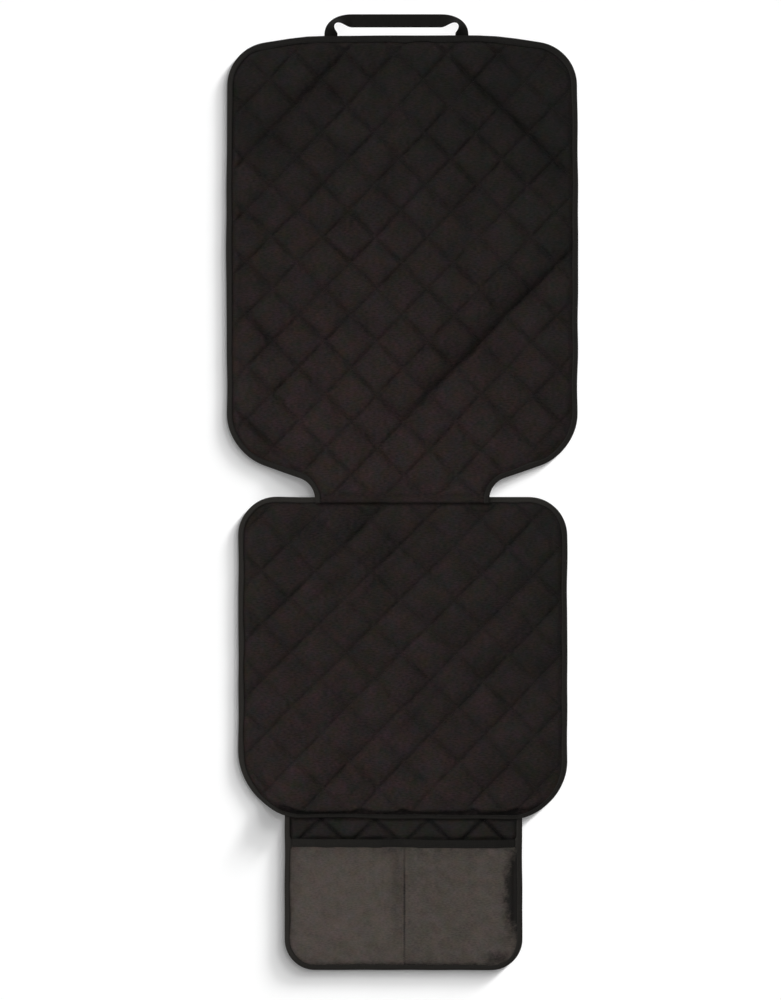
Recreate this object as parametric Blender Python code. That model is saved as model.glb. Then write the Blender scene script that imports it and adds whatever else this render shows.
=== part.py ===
"""A quilted car seat protector mat, lying flat with its face up.

Three quilted panels are sewn end to end: a back panel for the backrest, a seat panel for the
cushion, and a short front flap with a divided pocket. Each panel is a quilted cloth over a
non-slip backing, and a folded tape binds both together along the edge. A webbing strap loops
out from under the head end. Metres, +X to the right, +Y towards the head end, +Z up, with
the origin on the floor at the middle of the whole mat.
"""

import math

import bmesh
import bpy
import numpy as np
from mathutils import Vector
from mathutils.geometry import delaunay_2d_cdt

# Back panel outline. Heights are measured up from the sewn end of its tongue.
BACK_WIDTH = 0.470
BACK_LENGTH = 0.626
CROWN_HALF_WIDTH = 0.127
CROWN_DROP = 0.0165
CROWN_RADIUS = 0.330
HEAD_CORNER_RADIUS = 0.059
SHOULDER_HEIGHT = 0.0674
SHOULDER_RADIUS = 0.074
NECK_WIDTH = 0.234
NECK_HEIGHT = 0.0267
NECK_RADIUS = 0.030

# Seat panel outline.
SEAT_WIDTH = 0.438
SEAT_LENGTH = 0.432
SEAT_REAR_RADIUS = 0.050
SEAT_FRONT_RADIUS = 0.078

# Front flap outline and its pocket.
FLAP_WIDTH = 0.318
FLAP_LENGTH = 0.212
FLAP_CORNER_RADIUS = 0.041
FLAP_OFFSET = 0.002
MOUTH_FROM_TOP = 0.036
POCKET_BELLY = 0.0085
POCKET_CLOTH = 0.0006
BELLY_RUN = 0.034
BELLY_SLUMP = 0.7
HEM_WIDTH = 0.0115

# How far one panel lies over the next at the two cross seams.
TONGUE_OVERLAP = 0.0088
FLAP_OVERLAP = 0.0100

# Cloth, tape and padding.
TAPE_WIDTH = 0.009
TAPE_THICKNESS = 0.0006
BACKING_THICKNESS = 0.0006
PRESSED_THICKNESS = 0.0018
STITCHED_THICKNESS = 0.0012
QUILT_LOFT = 0.0055
FLAP_LOFT = 0.0030
LOFT_BEHIND_POCKET = 0.0009
PILLOW_BLUNTNESS = 0.6
CLEARANCE = 0.0003

# Quilting: the side of a diamond, and where one crossing of the stitch lines falls.
BACK_QUILT_PITCH = 0.0498
SEAT_QUILT_PITCH = 0.0508
FLAP_QUILT_PITCH = 0.0508
BACK_CROSSING_FROM_HEAD = 0.1635
SEAT_CROSSING_FROM_REAR = 0.2084
FLAP_CROSSING_FROM_FOOT = 0.1670

# Hanging strap. Its outer edge turns each corner on a quarter of a squarish ellipse.
STRAP_WIDTH = 0.0170
STRAP_THICKNESS = 0.0013
STRAP_RISE = 0.0290
STRAP_HALF_SPAN = 0.0965
STRAP_CORNER_REACH = 0.0370
STRAP_CORNER_POWER = 2.25
STRAP_CORNER_TIP = math.radians(62)
STRAP_TUCK = 0.0200
STRAP_OFFSET = -0.0075

# How finely the cloth is modelled.
CELL_STEPS = 4
ARC_STEP = math.radians(15)
LONGEST_RUN = 0.045
POCKET_COLUMNS = 19
POCKET_ROWS = 6
STRAP_CORNER_STEPS = 10

# Lengths over which cloth settles from a raised place back to its usual level, and how far
# a panel's raised end stays level before that.
SETTLE = 0.012
RAMP = 0.060
SHELF = 0.010
HEM_SHELF = 0.001

RIM_BAND = TAPE_WIDTH + 0.001
EDGE_INSET = TAPE_THICKNESS + CLEARANCE
PANEL_STACK = (
    2 * TAPE_THICKNESS + BACKING_THICKNESS + PRESSED_THICKNESS + 3 * CLEARANCE
)
POCKET_RIM = TAPE_THICKNESS + BACKING_THICKNESS + PRESSED_THICKNESS + 3 * CLEARANCE
FLAP_STACK = PANEL_STACK + POCKET_CLOTH + TAPE_THICKNESS + 2 * CLEARANCE

WHOLE_LENGTH = (
    STRAP_RISE + BACK_LENGTH - TONGUE_OVERLAP + SEAT_LENGTH - FLAP_OVERLAP + FLAP_LENGTH
)
HEAD_Y = WHOLE_LENGTH / 2 - STRAP_RISE
TONGUE_Y = HEAD_Y - BACK_LENGTH
SEAT_REAR_Y = TONGUE_Y + TONGUE_OVERLAP
SEAT_FRONT_Y = SEAT_REAR_Y - SEAT_LENGTH
FLAP_TOP_Y = SEAT_FRONT_Y + FLAP_OVERLAP
FOOT_Y = FLAP_TOP_Y - FLAP_LENGTH
MOUTH_Y = FLAP_TOP_Y - MOUTH_FROM_TOP
HEM_Y = MOUTH_Y - HEM_WIDTH - HEM_SHELF

# Where each panel's raised ends begin and end. Outlines have a point at each of these.
TONGUE_RAMP_Y = SEAT_REAR_Y + SHELF
STRAP_RAMP_Y = HEAD_Y - STRAP_TUCK - SHELF
FRONT_RAMP_Y = FLAP_TOP_Y + SHELF
RAMP_SHARES = np.array([0.0, 0.25, 0.5, 0.75, 1.0])
BACK_LEVELS = np.concatenate(
    [TONGUE_RAMP_Y + RAMP * RAMP_SHARES, STRAP_RAMP_Y - RAMP * RAMP_SHARES[::2]]
)
SEAT_LEVELS = FRONT_RAMP_Y + RAMP * RAMP_SHARES
FLAP_LEVELS = np.array([])


def smooth(t):
    """Eases from 0 to 1 as t goes from 0 to 1, flat at both ends."""
    t = np.clip(t, 0.0, 1.0)
    return t * t * (3 - 2 * t)


# Outlines.


def rounded(corners, closed):
    """A path through (x, y, radius) corners, with each corner's radius as a true arc."""
    path = []
    count = len(corners)
    for i, (x, y, radius) in enumerate(corners):
        here = Vector((x, y))
        if radius == 0 or (not closed and i in (0, count - 1)):
            path.append(here)
            continue
        back = (Vector(corners[i - 1][:2]) - here).normalized()
        ahead = (Vector(corners[(i + 1) % count][:2]) - here).normalized()
        half = back.angle(ahead) / 2
        centre = here + (back + ahead).normalized() * radius / math.sin(half)
        start = here + back * radius / math.tan(half) - centre
        turn = math.pi - 2 * half
        side = math.copysign(1, back.cross(ahead)) * -1
        steps = max(1, math.ceil(turn / ARC_STEP))
        for k in range(steps + 1):
            angle = side * turn * k / steps
            path.append(
                centre
                + Vector(
                    (
                        start.x * math.cos(angle) - start.y * math.sin(angle),
                        start.x * math.sin(angle) + start.y * math.cos(angle),
                    )
                )
            )
    return np.array(path)


def spaced(path, closed, levels):
    """The same path with no run longer than LONGEST_RUN, and a point at each y in levels."""
    ends = np.roll(path, -1, axis=0) if closed else path[1:]
    starts = path if closed else path[:-1]
    points = []
    for a, b in zip(starts, ends):
        steps = max(1, math.ceil(np.linalg.norm(b - a) / LONGEST_RUN))
        shares = [k / steps for k in range(steps)]
        if abs(b[1] - a[1]) > LONGEST_RUN / 4:
            crossed = (levels - a[1]) / (b[1] - a[1])
            apart = 0.1 / steps
            for share in crossed[(crossed > apart) & (crossed < 1 - apart)]:
                shares = [old for old in shares if old == 0 or abs(old - share) > apart]
                shares.append(share)
        points += [a + (b - a) * share for share in sorted(shares)]
    if not closed:
        points.append(path[-1])
    return np.array(points)


def inset(path, distance):
    """A closed anticlockwise path moved inwards, with its corners mitred."""
    ahead = np.roll(path, -1, axis=0) - path
    ahead /= np.linalg.norm(ahead, axis=1)[:, None]
    inward = np.stack([-ahead[:, 1], ahead[:, 0]], axis=1)
    before = np.roll(inward, 1, axis=0)
    share = 1 + (inward * before).sum(axis=1)
    return path + distance * (inward + before) / share[:, None]


def depth_inside(points, path):
    """How far each point lies from a closed path, positive inside it."""
    a = path[None, :, :]
    b = np.roll(path, -1, axis=0)[None, :, :]
    p = points[:, None, :]
    run = b - a
    t = np.clip(((p - a) * run).sum(axis=2) / (run * run).sum(axis=2), 0, 1)
    nearest = np.linalg.norm(p - a - t[:, :, None] * run, axis=2).min(axis=1)
    crosses = (a[..., 1] > p[..., 1]) != (b[..., 1] > p[..., 1])
    rise = np.where(run[..., 1] == 0, 1.0, run[..., 1])
    at_x = a[..., 0] + (p[..., 1] - a[..., 1]) * run[..., 0] / rise
    inside = (crosses & (p[..., 0] < at_x)).sum(axis=1) % 2 == 1
    return np.where(inside, nearest, -nearest)


def back_corners():
    """The back panel's right half from the tongue up to the head, then the left half."""
    side = BACK_WIDTH / 2
    neck = NECK_WIDTH / 2
    right = [
        (neck, TONGUE_Y, 0),
        (neck, TONGUE_Y + NECK_HEIGHT, NECK_RADIUS),
        (side, TONGUE_Y + SHOULDER_HEIGHT, SHOULDER_RADIUS),
        (side, HEAD_Y - CROWN_DROP, HEAD_CORNER_RADIUS),
        (CROWN_HALF_WIDTH, HEAD_Y, CROWN_RADIUS),
    ]
    return right + [(-x, y, r) for x, y, r in reversed(right)]


def seat_corners():
    side = SEAT_WIDTH / 2
    right = [
        (side, SEAT_FRONT_Y, SEAT_FRONT_RADIUS),
        (side, SEAT_REAR_Y, SEAT_REAR_RADIUS),
    ]
    return right + [(-x, y, r) for x, y, r in reversed(right)]


def flap_corners(top_y):
    """The flap from one top corner round its foot to the other, anticlockwise."""
    side = FLAP_WIDTH / 2
    left = [(-side, top_y, 0), (-side, FOOT_Y, FLAP_CORNER_RADIUS)]
    whole = left + [(-x, y, r) for x, y, r in reversed(left)]
    return [(x + FLAP_OFFSET, y, r) for x, y, r in whole]


# How the cloth lies: what each panel climbs over at its ends.


def back_lift(x, y):
    """The tongue climbs onto the seat's bound edge, and the head end onto the strap's ends."""
    onto_seat = smooth((TONGUE_RAMP_Y + RAMP - y) / RAMP)
    across = smooth((BACK_WIDTH / 2 - np.abs(x)) / (BACK_WIDTH / 2 - CROWN_HALF_WIDTH))
    onto_strap = smooth((y - STRAP_RAMP_Y + RAMP) / RAMP) * across
    return onto_seat * (PANEL_STACK + CLEARANCE) + onto_strap * (
        STRAP_THICKNESS + CLEARANCE
    )


def seat_lift(x, y):
    """The front edge climbs onto the top of the flap."""
    return smooth((FRONT_RAMP_Y + RAMP - y) / RAMP) * (FLAP_STACK + CLEARANCE) + 0 * x


def flap_lift(x, y):
    return 0 * x * y


def settled(depth):
    """0 in the band that the tape grips, 1 well inside it."""
    return smooth((depth - RIM_BAND) / SETTLE)


def backing_floor(depth):
    """The backing lies on the floor, and rises at its rim onto the tape's lower leg."""
    return (TAPE_THICKNESS + CLEARANCE) * (1 - settled(depth))


def panel_floor(depth):
    return backing_floor(depth) + BACKING_THICKNESS + CLEARANCE


def pillow(x, y, pitch, crossing_y):
    """Diamond quilting: 0 along the stitch lines and 1 at the middle of each diamond.

    It is the product of two sine waves that run at 45 degrees to the panel's sides.
    """
    along = np.pi * (x + y - crossing_y) / math.sqrt(2) / pitch
    across = np.pi * (x - y + crossing_y) / math.sqrt(2) / pitch
    return np.abs(np.sin(along) * np.sin(across)) ** PILLOW_BLUNTNESS


# Solids.


def finish(obj, material):
    """Shades an object smooth, with crisp edges, and gives it its material."""
    obj.data.materials.clear()
    obj.data.materials.append(material)
    obj.data.shade_smooth()
    obj.data.set_sharp_from_angle(angle=math.radians(40))
    return obj


def triangulated(loops, points):
    """A flat triangle mesh of the first loop's inside that keeps every loop and point."""
    places = [Vector(p) for loop in loops for p in loop] + [Vector(p) for p in points]
    edges = []
    first = 0
    for loop in loops:
        count = len(loop)
        edges += [(first + i, first + (i + 1) % count) for i in range(count)]
        first += count
    found = delaunay_2d_cdt(places, edges, [], 1, 1e-7)
    verts, faces, sources = found[0], found[2], found[3]
    rim = {old: new for new, olds in enumerate(sources) for old in olds}
    return (
        np.array([tuple(v) for v in verts]),
        [tuple(f) for f in faces],
        [rim[i] for i in range(len(loops[0]))],
    )


def sheet_solid(name, parts, outline, top, bottom, material):
    """A closed cloth between two triangle meshes that share an outer loop.

    top and bottom are (loops, points, height), where height gives z for arrays of x and y.
    """
    mesh = bmesh.new()
    rims = []
    for (loops, points, height), is_top in ((top, True), (bottom, False)):
        flat, faces, rim = triangulated([outline] + loops, points)
        z = height(flat[:, 0], flat[:, 1])
        verts = [mesh.verts.new((x, y, h)) for (x, y), h in zip(flat, z)]
        for face in faces:
            ring = [verts[i] for i in face]
            mesh.faces.new(ring if is_top else ring[::-1])
        rims.append([verts[i] for i in rim])
    upper, lower = rims
    for i in range(len(upper)):
        mesh.faces.new((upper[i - 1], lower[i - 1], lower[i], upper[i]))
    bmesh.ops.recalc_face_normals(mesh, faces=mesh.faces)
    data = bpy.data.meshes.new(name)
    mesh.to_mesh(data)
    mesh.free()
    obj = bpy.data.objects.new(name, data)
    parts.objects.link(obj)
    return finish(obj, material)


def as_mesh(drawn, section, name, parts, lift, material):
    """Turns a drawn curve with a section into a closed mesh, laid over what is under it."""
    parts.objects.link(drawn)
    graph = bpy.context.evaluated_depsgraph_get()
    data = bpy.data.meshes.new_from_object(drawn.evaluated_get(graph))
    bpy.data.objects.remove(drawn)
    bpy.data.objects.remove(section)
    mesh = bmesh.new()
    mesh.from_mesh(data)
    bmesh.ops.remove_doubles(mesh, verts=mesh.verts, dist=1e-6)
    bmesh.ops.recalc_face_normals(mesh, faces=mesh.faces)
    for vert in mesh.verts:
        vert.co.z += float(lift(vert.co.x, vert.co.y))
    mesh.to_mesh(data)
    mesh.free()
    data.name = name
    obj = bpy.data.objects.new(name, data)
    parts.objects.link(obj)
    return finish(obj, material)


def swept(name, parts, path, profile, closed, lift, material):
    """A tape: a closed profile carried along a path, then laid over what is under it.

    path is (x, y, z) points, and profile is (inward, up) points to the left of the path.
    """
    section = bpy.data.curves.new(name + "_section", "CURVE")
    section.dimensions = "2D"
    ring = section.splines.new("POLY")
    ring.points.add(len(profile) - 1)
    for point, (inward, up) in zip(ring.points, profile):
        point.co = (-inward, up, 0, 1)
    ring.use_cyclic_u = True
    tape = bpy.data.objects.new(name + "_section", section)
    route = bpy.data.curves.new(name, "CURVE")
    route.dimensions = "3D"
    route.twist_mode = "Z_UP"
    route.bevel_mode = "OBJECT"
    route.bevel_object = tape
    route.use_fill_caps = not closed
    line = route.splines.new("POLY")
    line.points.add(len(path) - 1)
    for point, place in zip(line.points, path):
        point.co = (*place, 1)
    line.use_cyclic_u = closed
    drawn = bpy.data.objects.new(name + "_route", route)
    return as_mesh(drawn, tape, name, parts, lift, material)


def fold_profile(width, height):
    """A tape folded round an edge: two legs of this width, this height over all."""
    t = TAPE_THICKNESS
    shoulder = 1.4 * t
    return [
        (width, 0),
        (width, t),
        (t, t),
        (t, height - t),
        (width, height - t),
        (width, height),
        (shoulder, height),
        (0, height - shoulder),
        (0, shoulder),
        (shoulder, 0),
    ]


def quilt_grid(outline, pitch, crossing_y, least_depth):
    """Points on the stitch lines and between them, turned 45 degrees, inside an outline."""
    step = pitch / CELL_STEPS
    reach = math.ceil(np.ptp(outline, axis=0).sum() / step)
    k = np.arange(-reach, reach + 1) * step / math.sqrt(2)
    u, v = np.meshgrid(k, k)
    points = np.stack([(u + v).ravel(), (u - v).ravel() + crossing_y], axis=1)
    low, high = outline.min(axis=0), outline.max(axis=0)
    points = points[((points > low) & (points < high)).all(axis=1)]
    return points[depth_inside(points, outline) > least_depth]


def ramp_lattice(outline, levels, least_depth):
    """Points in rows at the levels, far enough inside an outline."""
    low, high = outline.min(axis=0), outline.max(axis=0)
    columns = max(2, math.ceil((high[0] - low[0]) / LONGEST_RUN))
    x, y = np.meshgrid(np.linspace(low[0], high[0], columns), levels)
    points = np.stack([x.ravel(), y.ravel()], axis=1)
    return points[depth_inside(points, outline) > least_depth]


def quilted_panel(name, parts, shape, levels, quilt, lift, materials):
    """A quilted cloth and the backing under it, both cut to one outline.

    quilt is (pitch, y of a crossing on the middle line, loft as a function of y).
    """
    pitch, crossing_y, loft = quilt
    outline = spaced(rounded(shape, closed=True), True, levels)
    edge = inset(outline, EDGE_INSET)
    rim = inset(outline, RIM_BAND)
    inner = inset(outline, RIM_BAND + SETTLE)
    grid = quilt_grid(outline, pitch, crossing_y, RIM_BAND + SETTLE / 2)
    few = ramp_lattice(outline, levels, RIM_BAND + SETTLE * 1.2)

    def depth(x, y):
        return depth_inside(np.stack([x, y], axis=1), outline)

    def panel_top(x, y):
        inside = settled(depth(x, y))
        puffed = STITCHED_THICKNESS + loft(y) * pillow(x, y, pitch, crossing_y)
        thickness = PRESSED_THICKNESS * (1 - inside) + puffed * inside
        return lift(x, y) + panel_floor(depth(x, y)) + thickness

    def panel_bottom(x, y):
        return lift(x, y) + panel_floor(depth(x, y))

    def backing_top(x, y):
        return lift(x, y) + backing_floor(depth(x, y)) + BACKING_THICKNESS

    def backing_bottom(x, y):
        return lift(x, y) + backing_floor(depth(x, y))

    sheet_solid(
        name + "_quilted_cloth",
        parts,
        edge,
        ([rim], grid, panel_top),
        ([rim, inner], few, panel_bottom),
        materials["quilted"],
    )
    sheet_solid(
        name + "_nonslip_backing",
        parts,
        edge,
        ([rim, inner], few, backing_top),
        ([rim, inner], few, backing_bottom),
        materials["backing"],
    )


def edge_binding(name, parts, shape, levels, closed, stack, lift, materials):
    """Binding tape folded over the edge of a panel and its backing."""
    path = spaced(rounded(shape, closed), closed, levels)
    route = [(x, y, 0.0) for x, y in path]
    profile = fold_profile(TAPE_WIDTH, stack)
    swept(name, parts, route, profile, closed, lift, materials["binding"])


def panel_loft(y):
    return QUILT_LOFT + 0 * y


def front_loft(y):
    """The flap's quilting, pressed nearly flat behind the pocket."""
    in_view = smooth((y - MOUTH_Y - HEM_SHELF) / SETTLE)
    return LOFT_BEHIND_POCKET + (FLAP_LOFT - LOFT_BEHIND_POCKET) * in_view


# The pocket.


def pocket_belly(x, y, outline):
    """Each half of the pocket bellies up between its seams, most at its mouth."""
    depth = depth_inside(np.stack([x, y], axis=1), outline)
    from_edge = smooth((depth - RIM_BAND) / BELLY_RUN)
    from_divider = smooth(np.abs(x - FLAP_OFFSET) / BELLY_RUN)
    up = np.clip((y - FOOT_Y) / (HEM_Y - FOOT_Y), 0, 1)
    return POCKET_BELLY * from_edge * from_divider * up**BELLY_SLUMP


def pocket_floor(x, y, outline):
    """The pocket cloth's underside: on the flap's pressed rim, over the hem's lower leg."""
    over_hem = smooth((y - HEM_Y + SETTLE) / SETTLE) * (TAPE_THICKNESS + CLEARANCE)
    return POCKET_RIM + over_hem + pocket_belly(x, y, outline)


def divided_pocket(parts, materials):
    """The pocket's one cloth, sewn down its middle, and the tape folded over its mouth."""
    outline = rounded(flap_corners(MOUTH_Y + 2 * BELLY_RUN), closed=True)
    reach = FLAP_WIDTH / 2 - TAPE_WIDTH - 2 * CLEARANCE
    columns = FLAP_OFFSET + np.linspace(reach, -reach, POCKET_COLUMNS)
    mouth = np.stack([columns, MOUTH_Y + 0 * columns], axis=1)
    sides = spaced(rounded(flap_corners(MOUTH_Y), closed=False), False, FLAP_LEVELS)
    edge = inset(np.concatenate([sides, mouth]), EDGE_INSET)
    rows = np.linspace(FOOT_Y + RIM_BAND, HEM_Y - SETTLE, POCKET_ROWS)
    rows = np.append(rows, [HEM_Y - SETTLE / 2, HEM_Y])
    x, y = np.meshgrid(columns, rows)
    grid = np.stack([x.ravel(), y.ravel()], axis=1)
    grid = grid[depth_inside(grid, outline) > TAPE_WIDTH]

    def underside(x, y):
        return pocket_floor(x, y, outline)

    def face(x, y):
        return underside(x, y) + POCKET_CLOTH

    sheet_solid(
        "pocket_cloth",
        parts,
        edge,
        ([], grid, face),
        ([], grid, underside),
        materials["pocket"],
    )
    order = np.argsort(columns)
    under = underside(columns, MOUTH_Y - EDGE_INSET + 0 * columns)

    def hem_lift(x, y):
        at_x = np.interp(x, columns[order], under[order])
        return at_x - CLEARANCE - TAPE_THICKNESS + 0 * y

    route = [(x, MOUTH_Y, 0.0) for x in columns]
    profile = fold_profile(HEM_WIDTH, POCKET_CLOTH + 2 * (TAPE_THICKNESS + CLEARANCE))
    swept("pocket_hem", parts, route, profile, False, hem_lift, materials["binding"])


# The hanging strap.


def strap_stations():
    """(x, y, tip) along the outer edge of the strap's left half, from its end to its middle.

    x and y are measured from the middle of the head edge, and tip is the angle by which the
    webbing stands up on that edge: it grows from 0 to its most halfway round the corner.
    """
    start = STRAP_THICKNESS
    stations = [(-STRAP_HALF_SPAN, -STRAP_TUCK, 0.0)]
    for k in range(STRAP_CORNER_STEPS + 1):
        turn = math.pi / 2 * k / STRAP_CORNER_STEPS
        across = max(math.cos(turn), 0) ** (2 / STRAP_CORNER_POWER)
        up = math.sin(turn) ** (2 / STRAP_CORNER_POWER)
        x = STRAP_HALF_SPAN - STRAP_CORNER_REACH * (1 - across)
        y = start + (STRAP_RISE - start) * up
        stations.append((-x, y, STRAP_CORNER_TIP * math.sin(2 * turn)))
    return stations


def hanging_strap(parts, materials):
    """One length of webbing, both ends tucked under the head end of the mat.

    It lies flat under the mat and along the grip. At each corner it can't bend in its own
    plane, so it stands tipped on its outer edge, with its inner edge up in the air.
    """
    left = np.array(strap_stations())
    stations = np.concatenate([left, left[::-1] * (-1, 1, 1)])
    edge = stations[:, :2] + (STRAP_OFFSET, HEAD_Y)
    ahead = np.gradient(edge, axis=0)
    ahead /= np.linalg.norm(ahead, axis=1)[:, None]
    inward = np.stack([ahead[:, 1], -ahead[:, 0]], axis=1)
    corners = (
        (0, 0),
        (STRAP_WIDTH, 0),
        (STRAP_WIDTH, STRAP_THICKNESS),
        (0, STRAP_THICKNESS),
    )
    mesh = bmesh.new()
    sections = []
    for place, side, tip in zip(edge, inward, stations[:, 2]):
        section = []
        for across, up in corners:
            reach = across * math.cos(tip) + (STRAP_THICKNESS - up) * math.sin(tip)
            height = across * math.sin(tip) + up * math.cos(tip)
            section.append(mesh.verts.new((*(place + side * reach), height)))
        sections.append(section)
    for before, after in zip(sections, sections[1:]):
        for i in range(len(corners)):
            mesh.faces.new((before[i - 1], before[i], after[i], after[i - 1]))
    mesh.faces.new(sections[0])
    mesh.faces.new(sections[-1][::-1])
    bmesh.ops.recalc_face_normals(mesh, faces=mesh.faces)
    data = bpy.data.meshes.new("hanging_strap")
    mesh.to_mesh(data)
    mesh.free()
    obj = bpy.data.objects.new("hanging_strap", data)
    parts.objects.link(obj)
    finish(obj, materials["webbing"])


# The whole mat.


def material(name, colour, roughness):
    made = bpy.data.materials.new(name)
    made.use_nodes = True
    shader = made.node_tree.nodes["Principled BSDF"]
    shader.inputs["Base Color"].default_value = (*colour, 1)
    shader.inputs["Roughness"].default_value = roughness
    shader.inputs["Metallic"].default_value = 0
    return made


def main():
    for obj in list(bpy.data.objects):
        bpy.data.objects.remove(obj)
    parts = bpy.data.collections.new("car_seat_protector_mat")
    bpy.context.scene.collection.children.link(parts)
    materials = {
        "quilted": material("quilted_cloth", (0.016, 0.014, 0.014), 0.85),
        "backing": material("nonslip_backing", (0.012, 0.012, 0.012), 0.75),
        "binding": material("binding_tape", (0.012, 0.012, 0.011), 0.8),
        "pocket": material("pocket_cloth", (0.055, 0.048, 0.044), 0.7),
        "webbing": material("strap_webbing", (0.010, 0.010, 0.009), 0.75),
    }
    panels = (
        (
            "back",
            back_corners(),
            BACK_LEVELS,
            (BACK_QUILT_PITCH, HEAD_Y - BACK_CROSSING_FROM_HEAD, panel_loft),
            back_lift,
            False,
            PANEL_STACK,
        ),
        (
            "seat",
            seat_corners(),
            SEAT_LEVELS,
            (SEAT_QUILT_PITCH, SEAT_REAR_Y - SEAT_CROSSING_FROM_REAR, panel_loft),
            seat_lift,
            True,
            PANEL_STACK,
        ),
        (
            "flap",
            flap_corners(FLAP_TOP_Y),
            FLAP_LEVELS,
            (FLAP_QUILT_PITCH, FOOT_Y + FLAP_CROSSING_FROM_FOOT, front_loft),
            flap_lift,
            False,
            FLAP_STACK,
        ),
    )
    for name, shape, levels, quilt, lift, closed, stack in panels:
        quilted_panel(name, parts, shape, levels, quilt, lift, materials)
        tape = name + "_binding"
        edge_binding(tape, parts, shape, levels, closed, stack, lift, materials)
    divided_pocket(parts, materials)
    hanging_strap(parts, materials)


main()
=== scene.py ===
"""Looks of a quilted car seat protector mat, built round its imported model.

Every piece is a surface worked out from the mat's own sizes. The quilted cloths get their
puffs from a cloth simulation: a sheet with a little cloth to spare is pinned along its
stitch lines and blown up. Metres, +X right, +Y towards the head end, +Z up.
"""

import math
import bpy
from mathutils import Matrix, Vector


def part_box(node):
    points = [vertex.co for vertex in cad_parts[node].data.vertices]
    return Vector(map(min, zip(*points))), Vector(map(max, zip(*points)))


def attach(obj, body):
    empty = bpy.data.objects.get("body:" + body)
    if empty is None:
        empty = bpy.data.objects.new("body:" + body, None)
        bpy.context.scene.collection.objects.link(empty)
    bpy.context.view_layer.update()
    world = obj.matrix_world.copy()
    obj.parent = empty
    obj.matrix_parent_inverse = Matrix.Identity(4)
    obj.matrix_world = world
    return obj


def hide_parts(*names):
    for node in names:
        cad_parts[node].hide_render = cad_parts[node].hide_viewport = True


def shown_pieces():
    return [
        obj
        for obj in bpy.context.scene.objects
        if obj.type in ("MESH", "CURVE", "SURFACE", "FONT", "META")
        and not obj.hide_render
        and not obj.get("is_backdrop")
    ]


bl_info = {
    "name": "Car Seat Protector Mat",
    "version": (1, 0, 0),
    "blender": (4, 5, 0),
    "location": "3D View > Sidebar > Seat Mat",
    "description": "Builds a quilted car seat protector mat piece by piece",
    "category": "Add Mesh",
}

import bpy
import numpy as np
from mathutils import Vector

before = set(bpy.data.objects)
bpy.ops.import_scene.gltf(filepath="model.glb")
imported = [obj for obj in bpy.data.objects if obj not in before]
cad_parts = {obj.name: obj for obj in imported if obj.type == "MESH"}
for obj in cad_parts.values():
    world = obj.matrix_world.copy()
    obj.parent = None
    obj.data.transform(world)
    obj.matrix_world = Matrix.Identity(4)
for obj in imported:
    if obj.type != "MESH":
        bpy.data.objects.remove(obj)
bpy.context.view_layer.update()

# Outlines of the three panels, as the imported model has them.
BACK_WIDTH = 0.470
BACK_LENGTH = 0.626
CROWN_HALF_WIDTH = 0.127
CROWN_DROP = 0.0165
CROWN_RADIUS = 0.330
HEAD_CORNER_RADIUS = 0.059
SHOULDER_HEIGHT = 0.0674
SHOULDER_RADIUS = 0.074
NECK_WIDTH = 0.234
NECK_HEIGHT = 0.0267
NECK_RADIUS = 0.030
BACK_BARREL = 0.0019
BARREL_DROP = 0.287
BARREL_RADIUS = 4.0
BACK_OFFSET = 0.0003
SEAT_WIDTH = 0.4406
SEAT_OFFSET = 0.0011
SEAT_REAR_RADIUS = 0.051
SEAT_FRONT_RADII = (0.090, 0.076)
FLAP_WIDTH = 0.318
FLAP_CORNER_RADIUS = 0.041
FLAP_OFFSET = 0.002
MOUTH_FROM_TOP = 0.036

HEAD_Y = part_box("back_binding")[1].y
TONGUE_Y = HEAD_Y - BACK_LENGTH
SEAT_REAR_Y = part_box("seat_binding")[1].y - 0.0005
SEAT_FRONT_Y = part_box("seat_binding")[0].y + 0.0018
FLAP_TOP_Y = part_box("flap_binding")[1].y
FOOT_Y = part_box("flap_binding")[0].y
MOUTH_Y = FLAP_TOP_Y - MOUTH_FROM_TOP

# Layers and the lengths over which cloth settles from a raised place. A droop is where the
# cloth beside a raised part starts or ends its fall to the floor, and over what length.
TAPE_WIDTH = 0.009
TAPE_THICKNESS = 0.0006
BACKING_THICKNESS = 0.0006
PRESSED_THICKNESS = 0.0018
STITCHED_THICKNESS = 0.0012
POCKET_CLOTH = 0.0006
CLEARANCE = 0.0003
RIM_BAND = 0.010
EDGE_INSET = TAPE_THICKNESS + CLEARANCE
SETTLE = 0.012
RAMP = 0.060
SHELF = 0.010
HEM_SHELF = 0.001
TONGUE_DROOP = (0.078, 0.070)
FLAP_DROOP = (0.003, 0.034)
PANEL_STACK = 0.0045
POCKET_RIM = 0.0039
POCKET_STEPS = (0.0016, 0.0020)
BACKING_STEP = 0.006
FLAP_STACK = 0.0063
HEM_WIDTH = 0.0115
HEM_Y = MOUTH_Y - HEM_WIDTH - HEM_SHELF
SEAT_LOFT_SHARE = 0.82
LOFT_BEHIND_POCKET = 0.0009
POCKET_BELLY = 0.0085
BELLY_RUN = 0.034
BELLY_SLUMP = 0.7

# Hanging strap.
STRAP_WIDTH = 0.0176
STRAP_THICKNESS = 0.0013
STRAP_RISE = 0.0290
STRAP_HALF_SPAN = 0.0965
STRAP_CORNER_REACH = 0.0370
STRAP_CORNER_POWER = 2.25
STRAP_CORNER_TIP = math.radians(62)
STRAP_TUCK = 0.0200
STRAP_OFFSET = -0.0075
STRAP_STATIONS = 181
STRAP_CORDS = 6

# Where a stitch crossing lies on each panel's middle line.
BACK_CROSSING_Y = HEAD_Y - 0.1635
SEAT_CROSSING_Y = SEAT_REAR_Y - 0.2079
FLAP_CROSSING_Y = FOOT_Y + 0.1670

TONGUE_RAMP_Y = SEAT_REAR_Y + SHELF
STRAP_RAMP_Y = HEAD_Y - STRAP_TUCK - SHELF
FRONT_RAMP_Y = FLAP_TOP_Y + SHELF

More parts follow.
